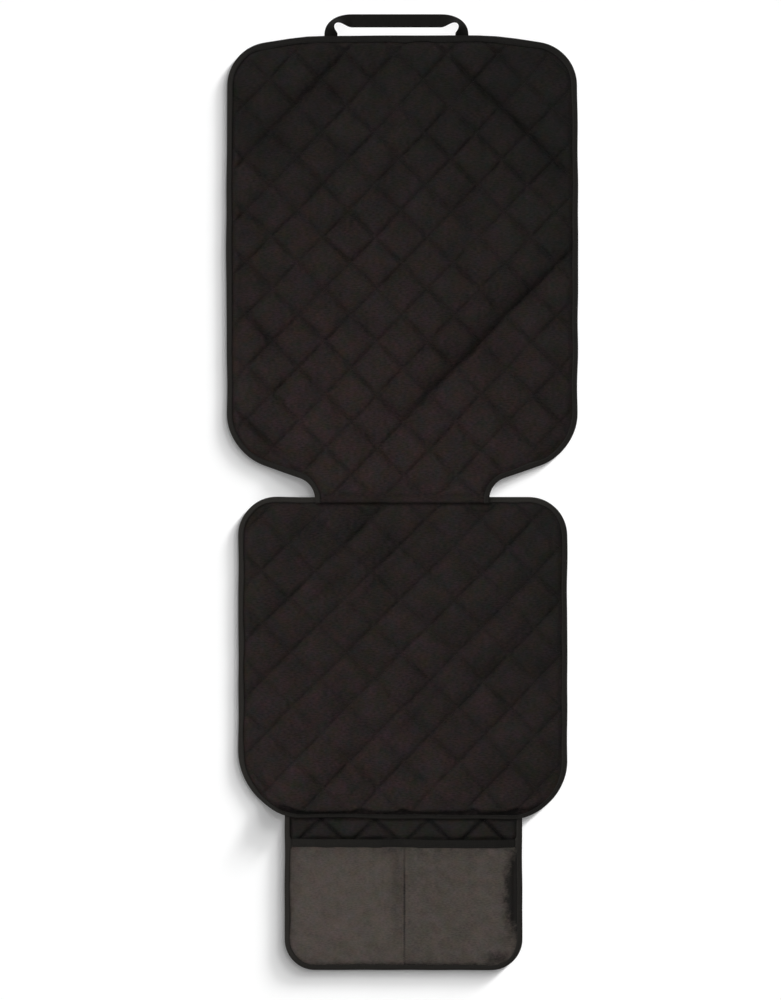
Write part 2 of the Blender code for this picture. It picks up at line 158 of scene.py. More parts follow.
# The photograph's frame: one pixel on the floor, and the pixel of the head edge's middle.
PIXEL = 0.00134
MIDDLE_COLUMN = 402.0
HEAD_ROW = 36.0
FRAME_HEIGHT = 1000
FRAME_MIDDLE = (390.5, 500.0)
LENS = 100.0
SENSOR = 36.0

ARC_STEP = math.radians(5)

# How the cloth simulation is run: in a space where one diamond is about a metre wide.
SIM_STEPS = 12
SIM_SCALE = 20.0
SIM_FRAMES = 22
FLANK = 0.0058
SIM_RIM = 0.0065
SIM_PUSH = 4
SIM_CLOTH = (
    ("quality", 6),
    ("mass", 0.15),
    ("tension_stiffness", 25),
    ("compression_stiffness", 25),
    ("shear_stiffness", 8),
    ("bending_stiffness", 2.0),
    ("air_damping", 3),
)
BLOWN_SHARE = 0.30
BLOWN_HEIGHT = 0.0022

# The quilting's grid: lines across a diamond, and how they crowd towards the stitching.
DIAMOND_STEPS = 26
DIAMOND_SQUEEZE = 0.35

# How unevenly the diamonds puff, as shares of their loft, and how far the cloth strays.
DIAMOND_UNEVEN = 0.20
DIAMOND_LEAN = 0.30
FLANK_UNEVEN = 0.30
BROAD_UNEVEN = 0.18
LOOSE_CLOTH = 0.0005
STRAY = 0.0007

# Painted shade along the seams, painted light beside one set of them, and painted shade behind
# the front tape: shares of the light, and over what distances.
SEAM_REACH = 0.0072
DEEP_SEAM_REACH = 0.0032
DEEP_SEAM = 0.30
SHADED_SIDE = (0.120, 0.015)
LIT_SIDE = (0.090, 0.018, 0.006)
FRONT_GLOOM = 0.74

# Where the puffing starts behind the tape: on any side, more at the front, more in a
# pleat's mouth. Then how far it takes, less at the front, and the bulge behind a pleat.
PUFF_START = (0.0070, 0.0008, 0.0042)
PUFF_RUN = (0.0085, 0.0050)
PLEAT_BULGE = (0.0015, 0.0022)

# Binding tape: where its stitches run across it, how deep they press, and their share of
# one stitch's length.
TAPE_STEP = 0.002
STITCH_ROW = 0.80
TAPE_GROOVE = 0.0002
EDGE_STITCH = 0.86
QUILTING_STITCH = 0.80
HEM_NOSE = 0.0012


def smooth(t):
    """Eases from 0 to 1 as t goes from 0 to 1: three t squared less two t cubed."""
    t = np.clip(t, 0.0, 1.0)
    return t * t * (3 - 2 * t)


def drift(x, y, seed, length):
    """A smooth wandering value of about -1 to 1: six sine waves of seeded slants and phases.

    length is the usual distance from one crest to the next.
    """
    draw = np.random.default_rng(seed)
    slant = draw.uniform(0, 2 * np.pi, 6)
    wave = 2 * np.pi / (length * draw.uniform(0.7, 1.6, 6))
    phase = draw.uniform(0, 2 * np.pi, 6)
    total = 0.0
    for k in range(6):
        run = x * math.cos(slant[k]) + y * math.sin(slant[k])
        total = total + np.sin(wave[k] * run + phase[k])
    return total / 2.6


def chance(row, column, seed):
    """A steady number of -1 to 1 for each diamond: the broken part of a large sine."""
    value = np.sin(row * 12.9898 + column * 78.233 + seed * 3.7) * 43758.5453
    return 2 * (value - np.floor(value)) - 1


def place(column, row):
    """Where a pixel of the photograph falls on the mat, as x and y."""
    return (column - MIDDLE_COLUMN) * PIXEL, HEAD_Y - (row - HEAD_ROW) * PIXEL


# Outlines.


def rounded(corners, closed):
    """A path through (x, y, radius) corners, with each corner's radius as a true arc."""
    path = []
    count = len(corners)
    for i, (x, y, radius) in enumerate(corners):
        here = Vector((x, y))
        if radius == 0 or (not closed and i in (0, count - 1)):
            path.append([tuple(here)])
            continue
        back = (Vector(corners[i - 1][:2]) - here).normalized()
        ahead = (Vector(corners[(i + 1) % count][:2]) - here).normalized()
        half = back.angle(ahead) / 2
        centre = here + (back + ahead).normalized() * radius / math.sin(half)
        start = here + back * radius / math.tan(half) - centre
        turn = math.pi - 2 * half
        side = math.copysign(1, back.cross(ahead)) * -1
        angle = side * np.linspace(0, turn, max(2, math.ceil(turn / ARC_STEP) + 1))
        arc_x = centre.x + start.x * np.cos(angle) - start.y * np.sin(angle)
        arc_y = centre.y + start.x * np.sin(angle) + start.y * np.cos(angle)
        path.append(np.stack([arc_x, arc_y], axis=1))
    return np.concatenate(path)


def unit(rows):
    """Each row of an array at length 1."""
    return rows / np.linalg.norm(rows, axis=1)[:, None]


def left_of(ahead):
    """Each flat direction turned a quarter to its left."""
    return np.stack([-ahead[:, 1], ahead[:, 0]], axis=1)


def run_along(path):
    """How far along a path each of its points is."""
    legs = np.linalg.norm(np.diff(path, axis=0), axis=1)
    return np.concatenate([[0], np.cumsum(legs)])


def at_lengths(path, along, lengths):
    """The path's places at these lengths along it."""
    return np.stack([np.interp(lengths, along, path[:, k]) for k in (0, 1)], axis=1)


def walked(path, closed, step):
    """Points about a step apart along a path, and how far along it each one is."""
    run = np.concatenate([path, path[:1]]) if closed else path
    along = run_along(run)
    lengths = np.linspace(0, along[-1], round(along[-1] / step) + 1)
    lengths = lengths[:-1] if closed else lengths
    return at_lengths(run, along, lengths), lengths


def inset(path, distance):
    """A closed anticlockwise path moved inwards, with its corners mitred."""
    inward = left_of(unit(np.roll(path, -1, axis=0) - path))
    before = np.roll(inward, 1, axis=0)
    share = 1 + (inward * before).sum(axis=1)
    return path + distance * (inward + before) / share[:, None]


def nearest_on(points, path):
    """The nearest place to each point on a closed path, and how far off it is."""
    a = path[None, :, :]
    run = np.roll(path, -1, axis=0)[None, :, :] - a
    p = points[:, None, :]
    t = np.clip(((p - a) * run).sum(axis=2) / (run * run).sum(axis=2), 0, 1)
    there = a + t[:, :, None] * run
    off = np.linalg.norm(p - there, axis=2)
    best = off.argmin(axis=1)
    rows = np.arange(len(points))
    return there[rows, best], off[rows, best]


def depth_inside(x, y, path):
    """How far each point lies from a closed path, positive inside it."""
    points = np.stack([np.ravel(x), np.ravel(y)], axis=1)
    depth = np.empty(len(points))
    a = path[None, :, :]
    b = np.roll(path, -1, axis=0)[None, :, :]
    rise = np.where(b[..., 1] == a[..., 1], 1.0, b[..., 1] - a[..., 1])
    for first in range(0, len(points), 8192):
        some = points[first : first + 8192]
        p = some[:, None, :]
        crosses = (a[..., 1] > p[..., 1]) != (b[..., 1] > p[..., 1])
        at_x = a[..., 0] + (p[..., 1] - a[..., 1]) * (b[..., 0] - a[..., 0]) / rise
        inside = (crosses & (p[..., 0] < at_x)).sum(axis=1) % 2 == 1
        off = nearest_on(some, path)[1]
        depth[first : first + 8192] = np.where(inside, off, -off)
    return depth.reshape(np.shape(x))


def back_corners():
    """The back panel's right half from the tongue up to the head, then the left half.

    Its long sides bow outwards a little.
    """
    side = BACK_WIDTH / 2 - BACK_BARREL / 2
    neck = NECK_WIDTH / 2
    right = [
        (neck, TONGUE_Y, 0),
        (neck, TONGUE_Y + NECK_HEIGHT, NECK_RADIUS),
        (side, TONGUE_Y + SHOULDER_HEIGHT, SHOULDER_RADIUS),
        (side + BACK_BARREL, HEAD_Y - BARREL_DROP, BARREL_RADIUS),
        (side, HEAD_Y - CROWN_DROP, HEAD_CORNER_RADIUS),
        (CROWN_HALF_WIDTH, HEAD_Y, CROWN_RADIUS),
    ]
    whole = right + [(-x, y, r) for x, y, r in reversed(right)]
    return [(x + BACK_OFFSET, y, r) for x, y, r in whole]


def seat_corners():
    """The seat panel's two right corners, then its two left ones."""
    side = SEAT_WIDTH / 2
    left, right = SEAT_FRONT_RADII
    whole = [
        (side, SEAT_FRONT_Y, right),
        (side, SEAT_REAR_Y, SEAT_REAR_RADIUS),
        (-side, SEAT_REAR_Y, SEAT_REAR_RADIUS),
        (-side, SEAT_FRONT_Y, left),
    ]
    return [(x + SEAT_OFFSET, y, r) for x, y, r in whole]


def flap_corners(top_y):
    """The flap from one top corner round its foot to the other, anticlockwise."""
    side = FLAP_WIDTH / 2
    left = [(-side, top_y, 0), (-side, FOOT_Y, FLAP_CORNER_RADIUS)]
    whole = left + [(-x, y, r) for x, y, r in reversed(left)]
    return [(x + FLAP_OFFSET, y, r) for x, y, r in whole]


# How the layers lie.


def back_lift(x, y):
    """The tongue climbs onto the seat's bound edge, and the head end onto the strap's ends.

    The shoulders beside the tongue droop back to the floor.
    """
    onto_seat = smooth((TONGUE_RAMP_Y + RAMP - y) / RAMP)
    end, length = TONGUE_DROOP
    onto_seat = onto_seat * smooth((NECK_WIDTH / 2 + end - np.abs(x)) / length)
    across = smooth((BACK_WIDTH / 2 - np.abs(x)) / (BACK_WIDTH / 2 - CROWN_HALF_WIDTH))
    onto_strap = smooth((y - STRAP_RAMP_Y + RAMP) / RAMP) * across
    return onto_seat * (PANEL_STACK + CLEARANCE) + onto_strap * (
        STRAP_THICKNESS + CLEARANCE
    )


def seat_lift(x, y):
    """The front edge climbs onto the top of the flap, and droops to the floor beside it."""
    onto_flap = smooth((FRONT_RAMP_Y + RAMP - y) / RAMP)
    start, length = FLAP_DROOP
    beside_flap = np.abs(x - FLAP_OFFSET) - FLAP_WIDTH / 2 - start
    return onto_flap * smooth(1 - beside_flap / length) * (FLAP_STACK + CLEARANCE)


def flap_lift(x, y):
    """The flap lies flat."""
    return 0 * x * y


def settled(depth):
    """0 in the band that the tape grips, 1 well inside it."""
    return smooth((depth - RIM_BAND) / SETTLE)


def backing_floor(depth):
    """The backing lies on the floor, and rises at its rim onto the tape's lower leg."""
    return (TAPE_THICKNESS + CLEARANCE) * (1 - settled(depth))


def panel_floor(depth):
    """The quilted cloth's underside lies just over the backing."""
    return backing_floor(depth) + BACKING_THICKNESS + CLEARANCE


# Meshes.


def mesh_object(name, places, quads, faces_of_three=None, uv=None):
    """A mesh object at the origin from arrays of places and faces, shaded smooth.

    uv gives each vertex a place on the mesh's own map, in metres.
    """
    loops = quads.ravel()
    sizes = np.full(len(quads), 4)
    if faces_of_three is not None and len(faces_of_three):
        loops = np.concatenate([loops, faces_of_three.ravel()])
        sizes = np.concatenate([sizes, np.full(len(faces_of_three), 3)])
    starts = np.concatenate([[0], np.cumsum(sizes)[:-1]])
    data = bpy.data.meshes.new(name)
    data.vertices.add(len(places))
    data.vertices.foreach_set("co", np.ascontiguousarray(places, np.float32).ravel())
    data.loops.add(len(loops))
    data.loops.foreach_set("vertex_index", loops.astype(np.int32))
    data.polygons.add(len(sizes))
    data.polygons.foreach_set("loop_start", starts.astype(np.int32))
    data.polygons.foreach_set("loop_total", sizes.astype(np.int32))
    if uv is not None:
        layer = data.uv_layers.new(name="along_and_across")
        layer.data.foreach_set("uv", uv[loops].astype(np.float32).ravel())
    data.update(calc_edges=True)
    data.validate()
    data.shade_smooth()
    obj = bpy.data.objects.new(name, data)
    bpy.context.scene.collection.objects.link(obj)
    return obj


def kept_squares(good):
    """A grid's squares whose four corners are all good.

    Returns the points that they use, and each square as four places in that list.
    """
    whole = good[:-1, :-1] & good[1:, :-1] & good[1:, 1:] & good[:-1, 1:]
    index = np.arange(good.size).reshape(good.shape)
    corners = (index[:-1, :-1], index[1:, :-1], index[1:, 1:], index[:-1, 1:])
    quads = np.stack([c[whole] for c in corners], axis=1)
    used, quads = np.unique(quads, return_inverse=True)
    return used, quads.reshape(-1, 4)


def trimmed_grid(x, y, path, slack):
    """A grid cut to a closed path: squares past it are dropped, and the edge is drawn onto it.

    Returns the places, the squares, and the edge's sides in the order that faces it out.
    """
    used, quads = kept_squares(depth_inside(x, y, path) > -slack)
    places = np.stack([x.ravel()[used], y.ravel()[used]], axis=1)
    first = places[quads[0]]
    turn = np.cross(first[1] - first[0], first[2] - first[1])
    if turn < 0:
        quads = quads[:, ::-1]
    sides = np.stack([quads, np.roll(quads, -1, axis=1)], axis=2).reshape(-1, 2)
    key = np.sort(sides, axis=1)
    key = key[:, 0] * len(places) + key[:, 1]
    _, where, times = np.unique(key, return_index=True, return_counts=True)
    edge = sides[where[times == 1]]
    rim = np.unique(edge)
    places[rim] = nearest_on(places[rim], path)[0]
    return places, quads, edge


def laid_grid(path, column_step, row_step, slack):
    """An even grid cut to a closed path that is drawn in by the tape's thickness."""
    low, high = path.min(axis=0), path.max(axis=0)
    columns = np.linspace(low[0], high[0], round((high[0] - low[0]) / column_step) + 1)
    rows = np.linspace(low[1], high[1], round((high[1] - low[1]) / row_step) + 1)
    x, y = np.meshgrid(columns, rows, indexing="ij")
    return trimmed_grid(x, y, inset(path, EDGE_INSET), slack)


def slab(name, flat, quads, edge, top, bottom):
    """A closed cloth from one grid: its top, the same grid turned over below, and its rim."""
    count = len(flat)
    places = np.concatenate([top, bottom])
    sides = np.stack([edge[:, 1], edge[:, 0], edge[:, 0] + count, edge[:, 1] + count], 1)
    faces = np.concatenate([quads, quads[:, ::-1] + count, sides])
    obj = mesh_object(name, places, faces)
    outward(obj)
    return obj


def carried(name, path, closed, profile, height, along):
    """A closed profile carried along a path.

    path is (n, 2), profile is (n, m, 2) as (inward, up) at each place, and height is (n, m)
    or a number that is added to z. Each profile point sits at its distance to the left of
    the path. The map's u is the distance along the path and its v the distance round.
    """
    if closed:
        ahead = np.roll(path, -1, axis=0) - np.roll(path, 1, axis=0)
    else:
        ahead = np.gradient(path, axis=0)
    inward = left_of(unit(ahead))
    flat = path[:, None, :] + inward[:, None, :] * profile[:, :, :1]
    places = np.concatenate([flat, (profile[:, :, 1] + height)[:, :, None]], axis=2)
    rows, around = profile.shape[:2]
    ring = np.arange(rows * around).reshape(rows, around)
    if closed:
        ring = np.concatenate([ring, ring[:1]])
    here, there = ring[:-1], ring[1:]
    quads = np.stack([here, np.roll(here, -1, 1), np.roll(there, -1, 1), there], axis=2)
    quads = quads.reshape(-1, 4)
    legs = np.linalg.norm(np.diff(profile, axis=1), axis=2)
    round_it = np.concatenate([np.zeros((rows, 1)), np.cumsum(legs, axis=1)], axis=1)
    uv = np.stack([np.broadcast_to(along[:, None], (rows, around)), round_it], axis=2)
    uv = uv.reshape(-1, 2)
    places = places.reshape(-1, 3)
    caps = None
    if not closed:
        middles = np.stack([places[ring[0]].mean(axis=0), places[ring[-1]].mean(axis=0)])
        hub = len(places)
        places = np.concatenate([places, middles])
        uv = np.concatenate([uv, uv[ring[0, :1]], uv[ring[-1, :1]]])
        start, end = ring[0], ring[-1]
        caps = np.concatenate(
            [
                np.stack([np.roll(start, -1), start, np.full(around, hub)], 1),
                np.stack([end, np.roll(end, -1), np.full(around, hub + 1)], 1),
            ]
        )
    obj = mesh_object(name, places, quads, caps, uv)
    outward(obj)
    return obj


def keep_dark(obj, values):
    """Gives each vertex its painted shading: the share of light taken out of its colour,
    negative where light is painted.
    """
    layer = obj.data.attributes.new("painted_shading", "FLOAT", "POINT")
    layer.data.foreach_set("value", np.asarray(values, np.float32))


def outward(obj):
    """Turns a closed mesh's faces out if its volume comes out negative."""
    data = obj.data
    data.calc_loop_triangles()
    co = np.empty(len(data.vertices) * 3, np.float32)
    data.vertices.foreach_get("co", co)
    tri = np.empty(len(data.loop_triangles) * 3, np.int32)
    data.loop_triangles.foreach_get("vertices", tri)
    a, b, c = co.reshape(-1, 3)[tri.reshape(-1, 3)].transpose(1, 0, 2).astype(float)
    if (a * np.cross(b, c)).sum() < 0:
        data.flip_normals()


# Sizes and colours that a user would change.


def length_property(name, description, default, least=0.0):
    """A length in metres with its name, description, default and least value."""
    return bpy.props.FloatProperty(
        name=name, description=description, default=default, min=least, unit="LENGTH"
    )


class MatSizes(bpy.types.PropertyGroup):
    """Sizes of the mat's soft details"""

    back_pitch: length_property("Back Diamond", "Its side on the back", 0.0498, 0.02)
    seat_pitch: length_property("Seat Diamond", "Its side on the seat", 0.0508, 0.02)
    flap_pitch: length_property("Flap Diamond", "Its side on the flap", 0.0508, 0.02)
    loft: length_property("Loft", "How far a diamond puffs up", 0.0060)
    flap_loft: length_property("Flap Loft", "How far the flap's diamonds puff up", 0.0050)
    spare_cloth: bpy.props.FloatProperty(
        name="Spare Cloth",
        description="Share by which the quilted cloth is longer than the flat panel",
        default=0.030,
        min=0.0,
        max=0.2,
        subtype="FACTOR",
    )
    stitch: length_property("Stitch", "One stitch with the gap after it", 0.0028, 0.001)
    thread: length_property("Thread", "Thickness of the sewing thread", 0.0005, 0.0001)


def colour_property(name, description, default):
    """A linear colour with its name, description and default."""
    return bpy.props.FloatVectorProperty(
        name=name,
        description=description,
        default=default,
        size=3,
        min=0.0,
        max=1.0,
        subtype="COLOR",
    )


class MatColours(bpy.types.PropertyGroup):
    """Colours of the mat's cloths and tapes"""

    cloth: colour_property("Cloth", "Quilted cloth", (0.0121, 0.0106, 0.0094))
    # Painted light: the lighter, browner tone where more light falls on the quilted cloth.
    lit_tone: colour_property("Lit Cloth", "Where it is sat on", (0.0242, 0.0168, 0.0155))
    backing: colour_property("Backing", "Rubbery backing", (0.010, 0.010, 0.010))
    tape: colour_property("Tape", "Binding tape", (0.0126, 0.0115, 0.0101))
    hem: colour_property("Hem", "Tape over the pocket's mouth", (0.0104, 0.0096, 0.0084))
    pocket: colour_property("Pocket", "Pocket cloth", (0.0715, 0.0586, 0.0492))
    webbing: colour_property("Webbing", "Strap webbing", (0.0072, 0.0067, 0.0057))
    thread: colour_property("Thread", "Sewing thread", (0.006, 0.0056, 0.005))
    floor: colour_property("Floor", "Floor", (0.90, 0.90, 0.90))


# Materials.


def node(tree, kind, inputs=None, **settings):
    """A new node with these settings, and numbers or other nodes' outputs as its inputs."""
    made = tree.nodes.new(kind)
    for key, value in settings.items():
        setattr(made, key, value)
    for key, value in (inputs or {}).items():
        if isinstance(value, bpy.types.NodeSocket):
            tree.links.new(value, made.inputs[key])
        else:
            made.inputs[key].default_value = value
    return made


def math_node(tree, operation, *values):
    """A Math node whose inputs are numbers or sockets. Returns its output."""
    inputs = dict(enumerate(values))
    return node(tree, "ShaderNodeMath", inputs, operation=operation).outputs[0]


def shared(numbers, **results):
    """Has a node group built when it is first asked for, and found after that.

    A Vector and these numbers, with their usual values, go in. Each result comes out as
    the kind named. The function under this fills the group in.
    """

    def filled_by(fill):
        def group():
            found = bpy.data.node_groups.get(fill.__name__)
            if found:
                return found
            made = bpy.data.node_groups.new(fill.__name__, "ShaderNodeTree")
            rows = [("INPUT", "Vector", "Vector")]
            rows += [("INPUT", label, "Float") for label in numbers]
            rows += [("OUTPUT", label, kind) for label, kind in results.items()]
            for way, label, kind in rows:
                socket = made.interface.new_socket(
                    label, in_out=way, socket_type="NodeSocket" + kind
                )
                if label in numbers:
                    socket.default_value = numbers[label]
            given = made.nodes.new("NodeGroupInput").outputs
            fill(made, given, made.nodes.new("NodeGroupOutput").inputs)
            return made

        return group

    return filled_by


def axes_of(tree, vector):
    """The three parts of a vector."""
    return list(node(tree, "ShaderNodeSeparateXYZ", {0: vector}).outputs)


def wave_along(tree, function, run, pitch):
    """The sine or cosine of half a turn for each pitch along run."""
    turns = math_node(tree, "DIVIDE", run, pitch)
    return math_node(tree, function, math_node(tree, "MULTIPLY", turns, math.pi))


def patches(group, given, roughness):
    """A noise over the group's Vector, as coarse as its Patch Size."""
    inputs = {
        "Vector": given["Vector"],
        "Scale": math_node(group, "DIVIDE", 1.0, given["Patch Size"]),
        "Detail": 4.0,
        "Roughness": roughness,
    }
    return node(group, "ShaderNodeTexNoise", inputs).outputs


@shared({"Pitch": 0.0006}, Height="Float")
def plain_weave(group, given, result):
    """Threads that pass over and under each other.

    Height is the rounded top of whichever thread is on top, and changes over at each
    crossing like the squares of a chess board.
    """
    runs = axes_of(group, given["Vector"])[:2]
    waves = [wave_along(group, "SINE", run, given["Pitch"]) for run in runs]
    over = math_node(group, "GREATER_THAN", math_node(group, "MULTIPLY", *waves), 0.0)
    under = math_node(group, "SUBTRACT", 1.0, over)
    tops = [math_node(group, "ABSOLUTE", wave) for wave in waves]
    second = math_node(group, "MULTIPLY", tops[1], under)
    total = math_node(group, "MULTIPLY_ADD", tops[0], over, second)
    group.links.new(total, result["Height"])


@shared(
    {"Patch Size": 0.05, "Yarn Length": 0.006, "Yarn Width": 0.0014},
    Patch="Float",
    Yarn="Float",
)
def cloth_tone(group, given, result):
    """How a cloth's colour wanders: broad soft patches, and fine uneven yarn along one way.

    Patch and Yarn are masks of 0 to 1 with 0.5 as their usual value.
    """
    group.links.new(patches(group, given, 0.6)["Fac"], result["Patch"])
    x, y, _ = axes_of(group, given["Vector"])
    long = math_node(group, "DIVIDE", x, given["Yarn Length"])
    wide = math_node(group, "DIVIDE", y, given["Yarn Width"])
    drawn_out = node(group, "ShaderNodeCombineXYZ", {0: long, 1: wide}).outputs[0]
    noise = {"Vector": drawn_out, "Scale": 1.0, "Detail": 2.0}
    yarn = node(group, "ShaderNodeTexNoise", noise).outputs["Fac"]
    group.links.new(yarn, result["Yarn"])


@shared({"Patch Size": 0.016, "Amount": 0.4}, Tint="Vector")
def colour_drift(group, given, result):
    """Small patches where the dye leans one way or another: a noise's three colours.

    Tint is 1 on average. Red strays by Amount, and blue partly with it.
    """
    noise = patches(group, given, 0.75)["Color"]
    split = node(group, "ShaderNodeSeparateColor", {0: noise}).outputs
    red = math_node(group, "SUBTRACT", split[0], 0.5)
    own = math_node(group, "SUBTRACT", split[2], 0.5)
    with_red = math_node(group, "MULTIPLY", red, 0.42)
    blue = math_node(group, "MULTIPLY_ADD", own, 0.88, with_red)
    amount = given["Amount"]
    red, blue = (math_node(group, "MULTIPLY_ADD", off, amount, 1.0) for off in (red, blue))
    joined = node(group, "ShaderNodeCombineXYZ", {0: red, 1: 1.0, 2: blue})
    group.links.new(joined.outputs[0], result["Tint"])


@shared({"Rib": 0.0009, "Thread": 0.0006}, Height="Float")
def tape_ribs(group, given, result):
    """Fine ribs across a tape, and threads along it, from the map's own lengths.

    Height is mostly a rib's rounded wave along the tape, and partly a thread's across it.
    """
    heights = []
    for run, label in zip(axes_of(group, given["Vector"]), ("Rib", "Thread")):
        wave = wave_along(group, "SINE", run, given[label])
        heights.append(math_node(group, "ABSOLUTE", wave))
    part = math_node(group, "MULTIPLY", heights[1], 0.4)
    total = math_node(group, "MULTIPLY_ADD", heights[0], 0.6, part)
    group.links.new(total, result["Height"])


@shared({"Mesh": 0.0042}, Height="Float")
def rubber_net(group, given, result):
    """Foamed cords that cross in a net, with sunk openings between them.

    Height is the higher of two sets of rounded cords.
    """
    cords = []
    for run in axes_of(group, given["Vector"])[:2]:
        wave = wave_along(group, "COSINE", run, given["Mesh"])
        cords.append(math_node(group, "POWER", math_node(group, "ABSOLUTE", wave), 3.0))
    top = math_node(group, "SMOOTH_MAX", *cords, 0.3)
    group.links.new(top, result["Height"])


@shared({"Middle X": 0.0, "Middle Y": 0.0, "Half X": 0.01, "Half Y": 0.01}, Mask="Float")
def shade_patch(group, given, result):
    """A soft ragged patch of painted shade: 1 at its middle, 0 outside. Halves are half its
    width and height.
    """
    squares = []
    for run, axis in zip(axes_of(group, given["Vector"]), "XY"):
        off = math_node(group, "SUBTRACT", run, given["Middle " + axis])
        off = math_node(group, "DIVIDE", off, given["Half " + axis])
        squares.append(math_node(group, "MULTIPLY", off, off))
    away = math_node(group, "SQRT", math_node(group, "ADD", *squares))
    noise = {"Vector": given["Vector"], "Scale": 150.0, "Detail": 3.0}
    ragged = node(group, "ShaderNodeTexNoise", noise).outputs["Fac"]
    away = math_node(group, "MULTIPLY_ADD", ragged, 0.8, away)
    fall = {"Value": away, "From Min": 1.65, "From Max": 0.65}
    mask = node(group, "ShaderNodeMapRange", fall, interpolation_type="SMOOTHSTEP")
    group.links.new(mask.outputs["Result"], result["Mask"])


# Painted light: how far the quilted cloth turns to its lighter, browner lit tone at each pixel
# row down the mat, where more light falls, how far its random patches change that, and how it
# changes across: a slant and a bend. Then how strongly the painted shading darkens it, and how
# far its random patches change its tone.
LIT_TONE_STOPS = (
    (60, 0.15),
    (110, 0.18),
    (170, 0.38),
    (260, 0.60),
    (430, 0.98),
    (495, 0.92),
    (503, 0.38),
    (560, 0.54),
    (700, 0.66),
    (790, 0.76),
    (815, 0.60),
    (822, 0.00),
)
LIT_TONE_PATCHES = 0.5
LIT_TONE_SLANT = -0.7
LIT_TONE_BEND = -5.0
SEAM_GLOOM = 0.56
PATCH_TONE = 0.45
# Painted shade on the pocket, in its folds, beside its middle seam and along its foot: the
# middle and the half sizes in pixels, and how dark.
POCKET_SHADE_PATCHES = (
    ((517, 893), (15, 47), 0.72),
    ((497, 957), (13, 8), 0.34),
    ((398, 895), (7, 60), 0.14),
    ((387, 850), (9, 4), 0.20),
    ((404.6, 905), (1.1, 66), 0.40),
    ((402, 967), (150, 6), 0.30),
    ((466, 900), (75, 90), 0.06),
)


# The least share of itself that a colour keeps under the darkest painted shade.
DARKEST = 0.12


def finish_material(name, roughness, specular):
    """A new material with its shader's plain numbers set on the shader itself."""
    made = bpy.data.materials.new(name)
    made.use_nodes = True
    tree = made.node_tree
    shader = tree.nodes["Principled BSDF"]
    shader.inputs["Roughness"].default_value = roughness
    shader.inputs["Specular IOR Level"].default_value = specular
    return made, tree, shader


def group_node(tree, group, vector, **values):
    """The outputs of a node of this group, given a vector and numbers."""
    inputs = {key.replace("_", " "): value for key, value in values.items()}
    return node(
        tree, "ShaderNodeGroup", {"Vector": vector, **inputs}, node_tree=group
    ).outputs


def shaded_colour(tree, shader, colour, tone, low, high, turned=None, tint=None):
    """Links a colour between low and high times itself, by a mask, to the shader.

    turned is (colour, mask, least, most): the colour turns to that one as the mask goes
    from least to most. The result is multiplied by tint.
    """
    span = {"Value": tone, "From Min": 0.3, "From Max": 0.7, "To Min": low, "To Max": high}
    level = node(tree, "ShaderNodeMapRange", span, clamp=False).outputs["Result"]
    level = math_node(tree, "MAXIMUM", level, DARKEST)
    result = colour
    if turned is not None:
        other, mask, least, most = turned
        span = {"Value": mask, "From Min": least, "From Max": most}
        share = node(tree, "ShaderNodeMapRange", span).outputs["Result"]
        ends = {"A": (*colour, 1), "B": (*other, 1), "Factor": share}
        mix = node(tree, "ShaderNodeMix", ends, data_type="RGBA", blend_type="MIX")
        result = mix.outputs["Result"]
    scaled = {0: result, "Scale": level}
    result = node(tree, "ShaderNodeVectorMath", scaled, operation="SCALE").outputs[0]
    if tint is not None:
        both = {0: result, 1: tint}
        result = node(tree, "ShaderNodeVectorMath", both, operation="MULTIPLY").outputs[0]
    tree.links.new(result, shader.inputs["Base Color"])


def bump(tree, shader, height, distance):
    """Links a height to the shader's normal."""
    given = {"Height": height, "Distance": distance, "Strength": 1.0}
    made = node(tree, "ShaderNodeBump", given)
    tree.links.new(made.outputs["Normal"], shader.inputs["Normal"])


def own_place(tree):
    """A piece's own coordinates."""
    return node(tree, "ShaderNodeTexCoord").outputs["Object"]


def map_place(tree):
    """A piece's own map: the lengths along it and round it."""
    return node(tree, "ShaderNodeUVMap", uv_map="along_and_across").outputs["UV"]


def kept_out(tree):
    """The painted shading at a place: the share of light taken out of its colour, negative where
    light is painted.
    """
    return node(tree, "ShaderNodeAttribute", attribute_name="painted_shading").outputs["Fac"]


